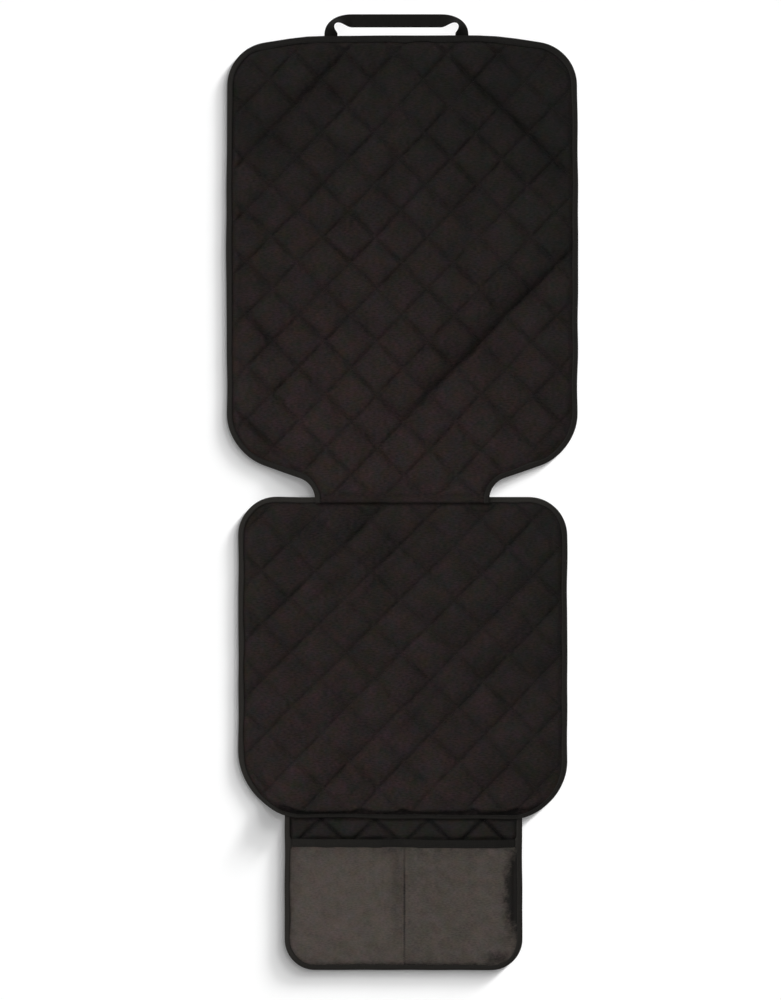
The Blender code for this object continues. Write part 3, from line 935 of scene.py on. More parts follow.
def quilted_material(colours):
    """Dark woven polyester: plain weave and uneven yarn, with painted light that turns it
    lighter and browner down its middle and towards its left, and painted shade in its seams and
    creases.
    """
    made, tree, shader = finish_material("quilted_polyester", 0.8, 0.12)
    where = own_place(tree)
    weave = group_node(tree, plain_weave(), where, Pitch=0.0007)
    tone = group_node(tree, cloth_tone(), where, Patch_Size=0.05, Yarn_Length=0.005)
    patch, yarn = tone["Patch"], tone["Yarn"]
    x, y, _ = axes_of(tree, where)
    length = HEAD_Y - FOOT_Y
    # Painted light: the lit tone's share down the mat's rows, then across it.
    down = math_node(tree, "MULTIPLY_ADD", y, -1 / length, HEAD_Y / length)
    ramp = node(tree, "ShaderNodeValToRGB", {"Fac": down})
    stops = ramp.color_ramp.elements
    while len(stops) < len(LIT_TONE_STOPS):
        stops.new(0.5)
    for stop, (row, share) in zip(stops, LIT_TONE_STOPS):
        stop.position = (row - HEAD_ROW) * PIXEL / length
        stop.color = (share, share, share, 1)
    lit_tone = math_node(tree, "MULTIPLY_ADD", patch, LIT_TONE_PATCHES, ramp.outputs["Color"])
    lit_tone = math_node(tree, "MULTIPLY_ADD", x, LIT_TONE_SLANT, lit_tone)
    square = math_node(tree, "MULTIPLY", x, x)
    lit_tone = math_node(tree, "MULTIPLY_ADD", square, LIT_TONE_BEND, lit_tone)
    lit_tone = math_node(tree, "SUBTRACT", lit_tone, LIT_TONE_PATCHES / 2)
    # Painted shade in the seams and creases, painted light where the shading is negative.
    level = math_node(tree, "MULTIPLY_ADD", kept_out(tree), -SEAM_GLOOM, yarn)
    level = math_node(tree, "MULTIPLY_ADD", patch, PATCH_TONE, level)
    level = math_node(tree, "SUBTRACT", level, PATCH_TONE / 2)
    turned = (tuple(colours.lit_tone), lit_tone, 0.0, 1.0)
    tint = group_node(tree, colour_drift(), where, Amount=1.72)["Tint"]
    shaded_colour(tree, shader, tuple(colours.cloth), level, 0.64, 1.36, turned, tint)
    relief = math_node(tree, "MULTIPLY_ADD", yarn, 0.8, weave["Height"])
    bump(tree, shader, relief, 0.00016)
    return made


def tape_like(name, colour):
    """Ribbed tape of one colour, a little smoother than the cloth."""
    made, tree, shader = finish_material(name, 0.8, 0.12)
    where = map_place(tree)
    ribs = group_node(tree, tape_ribs(), where, Rib=0.0008, Thread=0.0007)
    yarns = {"Patch_Size": 0.03, "Yarn_Length": 0.0012, "Yarn_Width": 0.006}
    yarn = group_node(tree, cloth_tone(), where, **yarns)["Yarn"]
    # Painted shade and light on the tape's sides.
    level = math_node(tree, "SUBTRACT", yarn, kept_out(tree))
    shaded_colour(tree, shader, colour, level, 0.8, 1.2)
    relief = math_node(tree, "MULTIPLY_ADD", yarn, 0.6, ribs["Height"])
    bump(tree, shader, relief, 0.00018)
    return made


def tape_material(colours):
    """The binding's tape."""
    return tape_like("binding_tape", tuple(colours.tape))


def hem_material(colours):
    """The tape over the pocket's mouth."""
    return tape_like("hem_tape", tuple(colours.hem))


def webbing_material(colours):
    """Woven strap webbing, with strong cross ribs."""
    made, tree, shader = finish_material("strap_webbing", 0.8, 0.10)
    where = map_place(tree)
    ribs = group_node(tree, tape_ribs(), where, Rib=0.0012, Thread=0.0016)
    yarns = {"Patch_Size": 0.03, "Yarn_Length": 0.0014, "Yarn_Width": 0.008}
    yarn = group_node(tree, cloth_tone(), where, **yarns)["Yarn"]
    shaded_colour(tree, shader, tuple(colours.webbing), yarn, 0.8, 1.2)
    bump(tree, shader, ribs["Height"], 0.0002)
    return made


def pocket_material(colours):
    """Lighter pocket cloth: fine weave, mottled, with painted shade in its folds and along its
    edges and seams.
    """
    made, tree, shader = finish_material("pocket_nylon", 0.7, 0.2)
    where = own_place(tree)
    weave = group_node(tree, plain_weave(), where, Pitch=0.0005)
    tone = group_node(tree, cloth_tone(), where, Patch_Size=0.014, Yarn_Length=0.004)
    patch, yarn = tone["Patch"], tone["Yarn"]
    level = math_node(tree, "MULTIPLY", yarn, 0.7)
    level = math_node(tree, "MULTIPLY_ADD", patch, 0.5, level)
    level = math_node(tree, "ADD", level, -0.10)
    # Painted shade at the pocket's edges, seams and folds.
    level = math_node(tree, "SUBTRACT", level, kept_out(tree))
    for middle, (wide, tall), depth in POCKET_SHADE_PATCHES:
        x, y = place(*middle)
        ends = {"Middle_X": x, "Middle_Y": y, "Half_X": wide * PIXEL, "Half_Y": tall * PIXEL}
        mask = group_node(tree, shade_patch(), where, **ends)["Mask"]
        level = math_node(tree, "MULTIPLY_ADD", mask, -depth, level)
    colour = tuple(colours.pocket)
    cooler = (colour[0] * 0.98, colour[1], colour[2] * 1.02)
    tint = group_node(tree, colour_drift(), where, Amount=0.68)["Tint"]
    turned = (cooler, patch, 0.38, 0.62)
    shaded_colour(tree, shader, colour, level, 0.72, 1.28, turned, tint)
    relief = math_node(tree, "MULTIPLY_ADD", yarn, 0.8, weave["Height"])
    bump(tree, shader, relief, 0.00010)
    return made


def backing_material(colours):
    """A foamed rubber net that grips the seat."""
    made, tree, shader = finish_material("grip_net", 0.7, 0.3)
    net = group_node(tree, rubber_net(), own_place(tree), Mesh=0.0042)["Height"]
    # Painted shade: the net's sunk openings are darker than its cords.
    shaded_colour(tree, shader, tuple(colours.backing), net, 0.35, 1.3)
    bump(tree, shader, net, 0.0009)
    return made


def thread_material(colours):
    """Twisted sewing thread."""
    made, tree, shader = finish_material("sewing_thread", 0.5, 0.3)
    yarns = {"Yarn_Length": 0.0005, "Yarn_Width": 0.0005}
    yarn = group_node(tree, cloth_tone(), own_place(tree), **yarns)["Yarn"]
    shaded_colour(tree, shader, tuple(colours.thread), yarn, 0.8, 1.2)
    return made


def dressed(obj, maker, body="root"):
    """Gives a piece its material and slot, and has it ride on the mat's one body."""
    name = maker.__name__
    known = bpy.context.scene.get("mat_materials", {})
    if name in known:
        material = bpy.data.materials[known[name]]
    else:
        material = maker(bpy.context.scene.mat_colours)
        known = dict(known)
        known[name] = material.name
        bpy.context.scene["mat_materials"] = known
    obj.data.materials.append(material)
    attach(obj, body)
    return obj


# Folds in the cloth.


def beside(x, y, ends):
    """How far to the left of a line the points lie, and a fade to 0 at its two ends.

    The line runs between two pixels of the photograph.
    """
    a = np.array(place(*ends[0]))
    b = np.array(place(*ends[1]))
    length = np.linalg.norm(b - a)
    ahead = (b - a) / length
    along = ((x - a[0]) * ahead[0] + (y - a[1]) * ahead[1]) / length
    off = (y - a[1]) * ahead[0] - (x - a[0]) * ahead[1]
    return off, smooth((along + 0.08) / 0.33) * smooth((1.08 - along) / 0.33)


def shade(x, y, ends, left, right, amount):
    """How much of the light a crease's painted shade keeps out, or a painted highlight adds
    where amount is negative: exponentials, left and right pixels wide.
    """
    off, fade = beside(x, y, ends)
    width = np.where(off > 0, left, right) * PIXEL
    return amount * fade * np.exp(-np.abs(off) / width)


def fold(x, y, ends, left, right):
    """A crease along a line with the cloth heaped up on either side of it.

    ends are two pixels of the photograph. left and right are (height, steep, gentle) for
    the sides of the line as one looks from its first end: the cloth climbs to the height
    steeply at first, one less an exponential over the steep width, and falls away over
    the gentle one. All of it fades at the ends.
    """
    off, fade = beside(x, y, ends)
    total = 0 * x
    for sign, side in ((1, left), (-1, right)):
        if side is None:
            continue
        height, steep, gentle = side
        away = sign * off
        shape = 1 - np.exp(-np.maximum(away, 0) / steep)
        shape = shape * (1 - smooth((away - 2 * steep) / gentle))
        total = total + np.where(away > 0, height * shape, 0.0)
    return total * fade


def heaped_by(folds, x, y):
    """What all of these folds heap up."""
    return sum((fold(x, y, *row) for row in folds), 0 * x)


# Folds: the line's ends, and the heaps on its left and right.
BACK_FOLDS = (
    (((348, 49), (242, 160)), (0.0030, 0.0045, 0.03), (0.0038, 0.0060, 0.045)),
    (((450, 57), (569, 176)), (0.0040, 0.0060, 0.04), (0.0036, 0.0060, 0.03)),
    (((572, 250), (400, 422)), None, (0.0120, 0.0100, 0.075)),
    (((482, 285), (496, 314)), None, (0.0034, 0.0060, 0.03)),
    (((240, 300), (276, 350)), (0.0028, 0.0050, 0.03), (0.0020, 0.0050, 0.02)),
    (((234, 409), (286, 456)), (0.0038, 0.0050, 0.03), (0.0024, 0.0050, 0.02)),
    (((398, 120), (375, 148)), (0.0018, 0.0040, 0.02), (0.0018, 0.0040, 0.02)),
    (((442, 48), (452, 80)), (0.0018, 0.0040, 0.02), (0.0018, 0.0040, 0.02)),
    (((350, 170), (300, 200)), None, (0.0020, 0.0060, 0.03)),
    (((563, 440), (535, 462)), (0.0018, 0.0040, 0.02), (0.0030, 0.0050, 0.025)),
)
SEAT_FOLDS = (
    (((400, 530), (300, 610)), None, (0.0040, 0.0070, 0.045)),
    (((440, 520), (345, 615)), None, (0.0036, 0.0070, 0.040)),
    (((372, 515), (330, 565)), None, (0.0030, 0.0060, 0.035)),
    (((460, 670), (372, 760)), None, (0.0034, 0.0070, 0.040)),
    (((540, 610), (450, 710)), None, (0.0030, 0.0070, 0.040)),
    (((340, 505), (312, 540)), (0.0020, 0.0040, 0.02), (0.0020, 0.0040, 0.02)),
    (((250, 760), (276, 795)), (0.0018, 0.0040, 0.02), (0.0026, 0.0050, 0.02)),
    (((562, 770), (520, 812)), None, (0.0030, 0.0060, 0.030)),
    (((545, 515), (558, 560)), (0.0020, 0.0040, 0.02), (0.0016, 0.0040, 0.02)),
)
# Painted shades in creases, and painted highlights where the amount is negative: the line's
# ends, how many pixels wide on its left and right, and how dark.
BACK_SHADES = (
    (((348, 49), (242, 160)), 5, 5, 0.22),
    (((450, 57), (569, 176)), 8, 8, 0.27),
    (((572, 250), (400, 422)), 0.5, 13, 0.30),
    (((482, 285), (496, 314)), 5, 4, 0.25),
    (((240, 300), (276, 350)), 4, 4, 0.15),
    (((234, 409), (286, 456)), 5, 4, 0.20),
    (((236, 430), (246, 450)), 5, 5, -0.25),
    (((238, 382), (246, 400)), 5, 5, -0.20),
    (((552, 40), (574, 130)), 9, 9, 0.14),
    (((572, 415), (540, 470)), 8, 12, 0.22),
    (((395, 118), (378, 146)), 5, 5, 0.12),
    (((560, 95), (575, 150)), 8, 8, 0.10),
    (((487, 272), (476, 332)), 7, 9, 0.22),
    (((470, 328), (438, 368)), 9, 11, 0.16),
    (((522, 276), (504, 302)), 6, 7, 0.14),
    (((578, 232), (560, 262)), 8, 8, 0.14),
)
SEAT_SHADES = (
    (((400, 530), (300, 610)), 3, 8, 0.12),
    (((440, 520), (345, 615)), 3, 8, 0.10),
    (((372, 515), (330, 565)), 3, 6, 0.12),
    (((460, 670), (372, 760)), 3, 8, 0.10),
    (((540, 610), (450, 710)), 3, 8, 0.10),
    (((340, 505), (312, 540)), 4, 4, 0.15),
    (((256, 606), (262, 624)), 4, 4, -0.30),
    (((318, 512), (300, 545)), 7, 7, 0.16),
    (((350, 520), (295, 575)), 3, 8, 0.10),
    (((510, 520), (560, 545)), 10, 10, -0.12),
    (((400, 590), (405, 640)), 5, 5, 0.08),
    (((505, 520), (500, 560)), 8, 8, 0.08),
    (((300, 605), (288, 560)), 7, 7, 0.10),
    (((345, 585), (368, 562)), 8, 8, -0.10),
    (((400, 602), (424, 578)), 8, 8, -0.10),
    (((355, 780), (384, 750)), 9, 9, -0.10),
    (((512, 545), (540, 518)), 10, 10, -0.12),
    (((566, 480), (566, 840)), 5, 60, 0.08),
    (((238, 840), (238, 480)), 5, 50, -0.08),
)
FLAP_SHADES = ((((270, 829), (536, 829)), 60, 60, -0.42),)
# Pleats along the seat's front tape: each mouth's column and half its width in pixels.
SEAT_GATHERS = ((286, 18), (362, 14), (403, 9), (473, 9), (517, 12))


# How the stitch lines stray from straight: for the two ways they run, how far in metres
# as a cubic of x and y over WANDER_REACH, with y from the panel's middle row.
WANDER_REACH = 0.2345
BACK_WANDER = (
    255,
    1.25,
    (0.52, -2.41, -1.02, -0.30, -1.70, -0.27, 1.09, 0.73, -0.05, -2.16),
    (-0.68, -4.50, -3.52, -0.75, -1.55, -1.85, 1.63, -0.56, 0.06, 0.53),
)
SEAT_WANDER = (
    655,
    0.90,
    (1.46, 6.75, -5.22, -4.27, 3.54, 1.21, -3.71, 0.75, -2.68, -0.17),
    (-1.44, 2.48, -3.33, -3.29, 1.84, 0.12, -3.22, 0.10, -1.07, 0.10),
)
NO_WANDER = (500, 1.0, (0,) * 10, (0,) * 10)


def strayed(x, y, wander):
    """How far, each way, a place on straight stitching has strayed: cubics of x and y."""
    row, limit, first, second = wander
    x = np.clip(x / WANDER_REACH, -1, 1)
    y = np.clip((y - place(0, row)[1]) / WANDER_REACH, -limit, limit)
    terms = (1, x, y, x * x, x * y, y * y, x**3, x * x * y, x * y * y, y**3)
    falling = sum(c * t for c, t in zip(first, terms)) / 1000
    rising = sum(c * t for c, t in zip(second, terms)) / 1000
    return (rising + falling) / math.sqrt(2), (rising - falling) / math.sqrt(2)


class QuiltedPanel:
    """One panel's quilting: its outline, diamonds, puffs and folds, and what it lies on."""

    def __init__(self, name, corners, pitch, crossing_y, loft, lift, creases, wander, seed):
        self.name = name
        self.path = rounded(corners, closed=True)
        self.pitch = pitch
        self.crossing_y = crossing_y
        self.loft = loft
        self.lift = lift
        self.folds, self.shades, self.gathers, self.gloom, self.slack = creases
        self.wander = wander
        self.seed = seed
        self.puffs = None
        self.reach = math.ceil(np.abs(self.path).sum(axis=1).max() / pitch) + 4

    def depth(self, x, y):
        """How far inside the panel's edge each point lies."""
        return depth_inside(x, y, self.path)

    def across(self, x, y):
        """Distances along the two stitch directions, in diamonds, from a crossing."""
        straight_x, straight_y = x, y
        for _ in range(4):
            off_x, off_y = strayed(straight_x, straight_y, self.wander)
            straight_x, straight_y = x - off_x, y - off_y
        x, y = straight_x, straight_y - self.crossing_y
        return (x + y) / math.sqrt(2) / self.pitch, (x - y) / math.sqrt(2) / self.pitch

    def drawn(self, u, v):
        """Where a place given in diamonds from a crossing lies on the panel."""
        x = (u + v) * self.pitch / math.sqrt(2)
        y = (u - v) * self.pitch / math.sqrt(2) + self.crossing_y
        off_x, off_y = strayed(x, y, self.wander)
        return x + off_x, y + off_y

    def lattice(self, steps, squeeze):
        """A grid laid along the stitch lines, its lines drawn closer near the stitching.

        Across a diamond, line k of n stands at k/n less squeeze times a sine wave.
        """
        share = np.arange(steps) / steps
        share = share - squeeze * np.sin(2 * np.pi * share) / (2 * np.pi)
        lines = np.arange(-self.reach, self.reach)[:, None] + share
        u, v = np.meshgrid(lines.ravel(), lines.ravel(), indexing="ij")
        return self.drawn(u, v)

    def simulate(self, spare):
        """Blows up a sheet that is pinned along its stitch lines, and keeps its shape.

        The sheet has a little cloth to spare each way, so it puffs between the stitch
        lines and puckers beside them. It is pushed up by gravity turned over.
        """
        x, y = self.lattice(SIM_STEPS, 0.0)
        used, quads = kept_squares(self.depth(x, y) > SIM_RIM)
        start_x = x.ravel()[used] * SIM_SCALE
        start_y = y.ravel()[used] * SIM_SCALE
        around = np.bincount(quads.ravel(), minlength=len(used)) < 4
        row, column = np.divmod(used, x.shape[1])
        stitched = (row % SIM_STEPS == 0) | (column % SIM_STEPS == 0) | around
        rough = 0.02 + 0.02 * drift(start_x, start_y, self.seed, 0.6)
        start_z = np.where(stitched, 0.0, rough)
        start = np.stack([start_x, start_y, start_z], axis=1)
        sheet = mesh_object(self.name + "_blown", start, quads)
        pins = sheet.vertex_groups.new(name="stitched")
        pins.add(np.flatnonzero(stitched).tolist(), 1.0, "REPLACE")
        cloth = sheet.modifiers.new("cloth", "CLOTH")
        for setting, value in SIM_CLOTH:
            setattr(cloth.settings, setting, value)
        cloth.settings.vertex_group_mass = "stitched"
        cloth.settings.shrink_min = -spare
        cloth.collision_settings.use_collision = False
        cloth.collision_settings.use_self_collision = False
        cloth.point_cache.frame_end = SIM_FRAMES
        scene = bpy.context.scene
        usual = tuple(scene.gravity)
        scene.gravity = (0, 0, SIM_PUSH)
        for step in range(1, SIM_FRAMES + 1):
            scene.frame_set(step)
        graph = bpy.context.evaluated_depsgraph_get()
        blown = sheet.evaluated_get(graph).data
        co = np.empty(len(blown.vertices) * 3, np.float32)
        blown.vertices.foreach_get("co", co)
        scene.gravity = usual
        data = sheet.data
        bpy.data.objects.remove(sheet)
        bpy.data.meshes.remove(data)
        scene.frame_set(1)
        moved = (co.reshape(-1, 3) - (start * (1, 1, 0))) / SIM_SCALE
        self.puffs = np.zeros((3, *x.shape))
        self.puffs.reshape(3, -1)[:, used] = moved.T

    def puff(self, x, y):
        """The quilting's rise from 0 to about 1, and how far the cloth is pushed sideways.

        Batting gives each diamond its flat top and steep sides: for each way across it,
        one less an exponential of the distance from the stitching, and the two multiplied.
        The blown-up cloth over it adds its share in the same manner from the simulated
        height, with its puckers beside the stitching.
        """
        u, v = self.across(x, y)
        row, column = np.floor(u), np.floor(v)
        flank = FLANK * (1 + FLANK_UNEVEN * chance(row, column, self.seed + 7))
        dome = 1 + 0 * x
        for run in (u, v):
            away = self.pitch / np.pi * np.abs(np.sin(np.pi * run))
            dome = dome * (1 - np.exp(-away / flank))
        if self.puffs is None:
            return dome, 0 * x, 0 * x
        row = (u + self.reach) * SIM_STEPS
        column = (v + self.reach) * SIM_STEPS
        shift_x, shift_y, height = (interpolated(g, row, column) for g in self.puffs)
        blown = 1 - np.exp(-np.maximum(height, 0) / BLOWN_HEIGHT)
        rise = dome * (1 - BLOWN_SHARE) + blown * BLOWN_SHARE
        return rise, shift_x * BLOWN_SHARE, shift_y * BLOWN_SHARE

    def painted_shading(self, x, y):
        """The painted shading: the share of light that seams and creases keep out, past what
        their shape does.

        Along the stitching it is a bell curve over the distance from it. On a slack panel one
        set of seams also paints shade on the cloth above it and light on the cloth below it,
        each an exponential of that distance. The front tape gets painted shade behind it, and
        the panel's shades add painted shade in creases and painted highlights where their amount
        is negative.
        """
        total = 0 * x
        uneven = 1 + 0.4 * drift(x, y, self.seed + 9, 0.12)
        wide = SEAM_REACH if self.gloom < DEEP_SEAM else DEEP_SEAM_REACH
        for run, share in zip(self.across(x, y), (1 - 0.4 * self.slack, 1)):
            away = self.pitch / np.pi * np.sin(np.pi * run)
            bell = np.exp(-((away / wide) ** 2))
            total = total + self.gloom * uneven * share * bell
        run = self.across(x, y)[1]
        below = (run - np.floor(run + 0.5)) * self.pitch
        away = np.abs(below)
        share, reach = SHADED_SIDE
        shaded = share * np.exp(-away / reach)
        share, reach, start = LIT_SIDE
        lit = share * np.exp(-away / reach) * smooth(away / start)
        total = total + self.slack * uneven * np.where(below < 0, shaded, -lit)
        depth = self.depth(x, y)
        opening, front = self.mouths(x, y)
        behind_tape = 1 - smooth((depth - 0.0086 - 0.0036 * opening) / 0.0026)
        total = total + FRONT_GLOOM * front * behind_tape
        for ends, left, right, amount in self.shades:
            total = total + shade(x, y, ends, left, right, amount)
        return total

    def surface(self, x, y):
        """The top cloth over each point of the flat panel, as x, y and z."""
        depth = self.depth(x, y)
        inside, bulge = self.gather(x, y, depth)
        rise, shift_x, shift_y = self.puff(x, y)
        u, v = self.across(x, y)
        row, column = np.floor(u), np.floor(v)
        lean_u = chance(row, column, self.seed + 5) * (2 * (u - row) - 1)
        lean_v = chance(row, column, self.seed + 6) * (2 * (v - column) - 1)
        broad = drift(x, y, self.seed + 8, 0.13)
        uneven = 1 + DIAMOND_UNEVEN * chance(row, column, self.seed)
        uneven = uneven + BROAD_UNEVEN * broad + DIAMOND_LEAN * (lean_u + lean_v)
        height = STITCHED_THICKNESS + self.loft(y) * rise * uneven
        pinched = PRESSED_THICKNESS - 0.0010 * smooth((depth - 0.0050) / 0.0012)
        level = pinched * (1 - inside) + height * inside
        heaped = heaped_by(self.folds, x, y) + bulge
        slack = LOOSE_CLOTH * (1 + drift(x, y, self.seed + 1, 0.16))
        z = self.lift(x, y) + panel_floor(depth) + level + (heaped + slack) * inside
        wander_x = STRAY * drift(x, y, self.seed + 2, 0.11) * inside
        wander_y = STRAY * drift(x, y, self.seed + 3, 0.11) * inside
        shift_x = (wander_x + shift_x * inside) * inside
        shift_y = (wander_y + shift_y * inside) * inside
        return np.stack([x + shift_x, y + shift_y, z], axis=-1)

    def mouths(self, x, y):
        """How far the pleats gape along the front tape, and a mask of the front."""
        opening = 0 * x
        for column, half in self.gathers:
            run = np.abs(x - place(column, 0)[0]) / (half * PIXEL)
            opening = opening + 0.5 + 0.5 * np.cos(np.pi * np.minimum(run, 1))
        front = smooth((SEAT_FRONT_Y + 0.03 - y) / 0.02) * (len(self.gathers) > 0)
        return opening * front, front

    def gather(self, x, y, depth):
        """How freely the quilting puffs up, and the bulge behind the front tape.

        The puffing goes from 0 beside the tape to 1 farther in. Each pleat's mouth is a
        raised cosine along the front tape: there the quilting starts farther in, climbs
        steeply and bulges.
        """
        opening, front = self.mouths(x, y)
        start = PUFF_START[0] + PUFF_START[1] * front + PUFF_START[2] * opening
        inside = smooth((depth - start) / (PUFF_RUN[0] - PUFF_RUN[1] * front))
        behind = np.maximum(depth - start, 0)
        bulge = PLEAT_BULGE[0] * front + PLEAT_BULGE[1] * opening
        return inside, bulge * smooth(behind / 0.0030) * np.exp(-behind / 0.016)

    def underside(self, x, y):
        """The quilted cloth's lower face."""
        return np.stack([x, y, self.lift(x, y) + panel_floor(self.depth(x, y))], axis=-1)


def interpolated(grid, row, column):
    """Values between a grid's points: the cubic through the four nearest lines each way."""
    top = np.clip(np.floor(row).astype(int), 1, grid.shape[0] - 3)
    side = np.clip(np.floor(column).astype(int), 1, grid.shape[1] - 3)

    def weights(t):
        return (
            ((-t + 2) * t - 1) * t / 2,
            ((3 * t - 5) * t * t + 2) / 2,
            ((-3 * t + 4) * t + 1) * t / 2,
            ((t - 1) * t * t) / 2,
        )

    down = weights(row - top)
    over = weights(column - side)
    total = 0.0
    for a in range(4):
        for b in range(4):
            total = total + down[a] * over[b] * grid[top + a - 1, side + b - 1]
    return total


def mat_panels():
    """The back, seat and flap panels with their sizes, each simulated."""
    sizes = bpy.context.scene.mat_sizes

    def full(y):
        return sizes.loft + 0 * y

    def flatter(y):
        return SEAT_LOFT_SHARE * sizes.loft + 0 * y

    def front(y):
        in_view = smooth((y - MOUTH_Y + 0.0010) / 0.0045)
        return LOFT_BEHIND_POCKET + (sizes.flap_loft - LOFT_BEHIND_POCKET) * in_view

    panels = (
        QuiltedPanel(
            "back",
            back_corners(),
            sizes.back_pitch,
            BACK_CROSSING_Y,
            full,
            back_lift,
            (BACK_FOLDS, BACK_SHADES, (), 0.11, 0.0),
            BACK_WANDER,
            11,
        ),
        QuiltedPanel(
            "seat",
            seat_corners(),
            sizes.seat_pitch,
            SEAT_CROSSING_Y,
            flatter,
            seat_lift,
            (SEAT_FOLDS, SEAT_SHADES, SEAT_GATHERS, 0.06, 1.0),
            SEAT_WANDER,
            23,
        ),
        QuiltedPanel(
            "flap",
            flap_corners(FLAP_TOP_Y),
            sizes.flap_pitch,
            FLAP_CROSSING_Y,
            front,
            flap_lift,
            ((), FLAP_SHADES, (), 0.78, 0.0),
            NO_WANDER,
            37,
        ),
    )
    for panel in panels:
        panel.simulate(sizes.spare_cloth)
    return panels


PANELS = []


def panels_once():
    """The panels, made the first time that a piece asks for them."""
    if not PANELS:
        PANELS.extend(mat_panels())
    return PANELS


# Pieces.


def stitches(name, centres, ahead, length, thickness):
    """Short threads laid end to end, each a closed spindle of a few faces.

    centres is (n, 3) and ahead (n, 3). A spindle has two points and three rings of four,
    lies along ahead, and rises in the middle so that its ends sink into the cloth.
    """
    up = np.array([0.0, 0.0, 1.0])
    ahead = unit(ahead)
    side = unit(np.cross(up, ahead))
    over = np.cross(ahead, side)
    stations = np.array([-0.5, -0.36, 0.0, 0.36, 0.5]) * length
    girth = np.array([0.0, 0.42, 0.5, 0.42, 0.0]) * thickness
    sink = np.array([-0.9, -0.25, 0.25, -0.25, -0.9]) * thickness
    turn = np.arange(4) * np.pi / 2 + np.pi / 4
    local = [(stations[0], 0.0, sink[0])]
    for k in (1, 2, 3):
        for t in turn:
            local.append(
                (stations[k], girth[k] * math.cos(t), sink[k] + girth[k] * math.sin(t))
            )
    local.append((stations[4], 0.0, sink[4]))
    local = np.array(local)
    places = (
        centres[:, None, :]
        + local[None, :, :1] * ahead[:, None, :]
        + local[None, :, 1:2] * side[:, None, :]
        + local[None, :, 2:3] * over[:, None, :]
    )
    rings = np.array([[1, 2, 3, 4], [5, 6, 7, 8], [9, 10, 11, 12]])
    bands = [
        np.stack([a, np.roll(a, -1), np.roll(b, -1), b], axis=1)
        for a, b in zip(rings, rings[1:])
    ]
    quads = np.concatenate(bands)
    start = np.stack([np.roll(rings[0], -1), rings[0], np.zeros(4, int)], axis=1)
    end = np.stack([rings[2], np.roll(rings[2], -1), np.full(4, 13)], axis=1)
    threes = np.concatenate([start, end])
    offset = np.arange(len(centres)) * len(local)
    quads = (quads[None] + offset[:, None, None]).reshape(-1, 4)
    threes = (threes[None] + offset[:, None, None]).reshape(-1, 3)
    obj = mesh_object(name, places.reshape(-1, 3), quads, threes)
    outward(obj)
    return obj


class MatOperator:
    """What the mat's operators share."""

    bl_options = {"REGISTER", "UNDO"}


class MESH_OT_mat_quilted_cloths(MatOperator, bpy.types.Operator):
    """Add the three quilted cloths, puffed up between their stitch lines"""

    bl_idname = "mesh.mat_quilted_cloths"
    bl_label = "Quilted Cloths"

    def execute(self, context):
        for panel in panels_once():
            edge_path = inset(panel.path, EDGE_INSET)
            slack = panel.pitch / DIAMOND_STEPS * 0.3
            lattice = panel.lattice(DIAMOND_STEPS, DIAMOND_SQUEEZE)
            flat, quads, edge = trimmed_grid(*lattice, edge_path, slack)
            x, y = flat.T
            top, bottom = panel.surface(x, y), panel.underside(x, y)
            obj = slab(panel.name + "_quilting", flat, quads, edge, top, bottom)
            painted_shading = panel.painted_shading(x, y)
            keep_dark(obj, np.concatenate([painted_shading, 0 * painted_shading]))
            dressed(obj, quilted_material)
            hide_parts(panel.name + "_quilted_cloth")
        return {"FINISHED"}


class MESH_OT_mat_backings(MatOperator, bpy.types.Operator):
    """Add the rubbery non-slip backings under the three panels"""

    bl_idname = "mesh.mat_backings"
    bl_label = "Non-slip Backings"

    def execute(self, context):
        for panel in panels_once():
            step = BACKING_STEP
            flat, quads, edge = laid_grid(panel.path, step, step, step / 3)
            x, y = flat.T
            level = panel.lift(x, y) + backing_floor(panel.depth(x, y))
            bottom = np.stack([x, y, level], axis=1)
            top = bottom + (0, 0, BACKING_THICKNESS)
            obj = slab(panel.name + "_grip_net", flat, quads, edge, top, bottom)
            dressed(obj, backing_material)
            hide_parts(panel.name + "_nonslip_backing")
        return {"FINISHED"}


def folded_tape(width, height, dome, nose):
    """A tape folded round an edge, as (inward, up) points anticlockwise for each station.

    width and height are arrays, one per station. The outer side is a half ellipse. The
    top leg is a low dome, dome high, with a groove pressed in by its row of stitches. nose
    is the width of the rounded outer side.
    """
    t = TAPE_THICKNESS
    turn = np.linspace(-np.pi / 2, np.pi / 2, 9)
    w = width[:, None]
    h = height[:, None]
    outer_in = nose - nose * np.cos(turn)[None, :]
    outer_up = h / 2 * (1 + np.sin(turn)[None, :])
    share = np.array([0.18, 0.34, 0.50, 0.62, 0.72, 0.80, 0.88, 0.96, 1.0])[None, :]
    top_in = nose + (w - nose) * share
    sag = np.exp(-(((share - STITCH_ROW) / 0.07) ** 2))
    top_up = h + dome[:, None] * np.sin(np.pi * np.minimum(share, 0.96))
    top_up = top_up - TAPE_GROOVE * sag - 0.00025 * (share == 1.0)
    lip_in = np.concatenate([w, w - 0.0002], axis=1)
    lip_up = np.concatenate([h - t * 0.6, h - t], axis=1)
    inner_in = np.concatenate([0.5 * w, 0 * w + t * 1.6, 0 * w + t * 1.6, 0.5 * w], axis=1)
    inner_up = np.concatenate([h - t, h - t * 1.4, 0 * h + t * 1.4, 0 * h + t], axis=1)
    lower_in = np.concatenate([w, w, 0.5 * w], axis=1)
    lower_up = np.concatenate([0 * h + t, 0 * h, 0 * h], axis=1)
    inward = np.concatenate([outer_in, top_in, lip_in, inner_in, lower_in], axis=1)
    up = np.concatenate([outer_up, top_up, lip_up, inner_up, lower_up], axis=1)
    return np.stack([inward, up], axis=2)


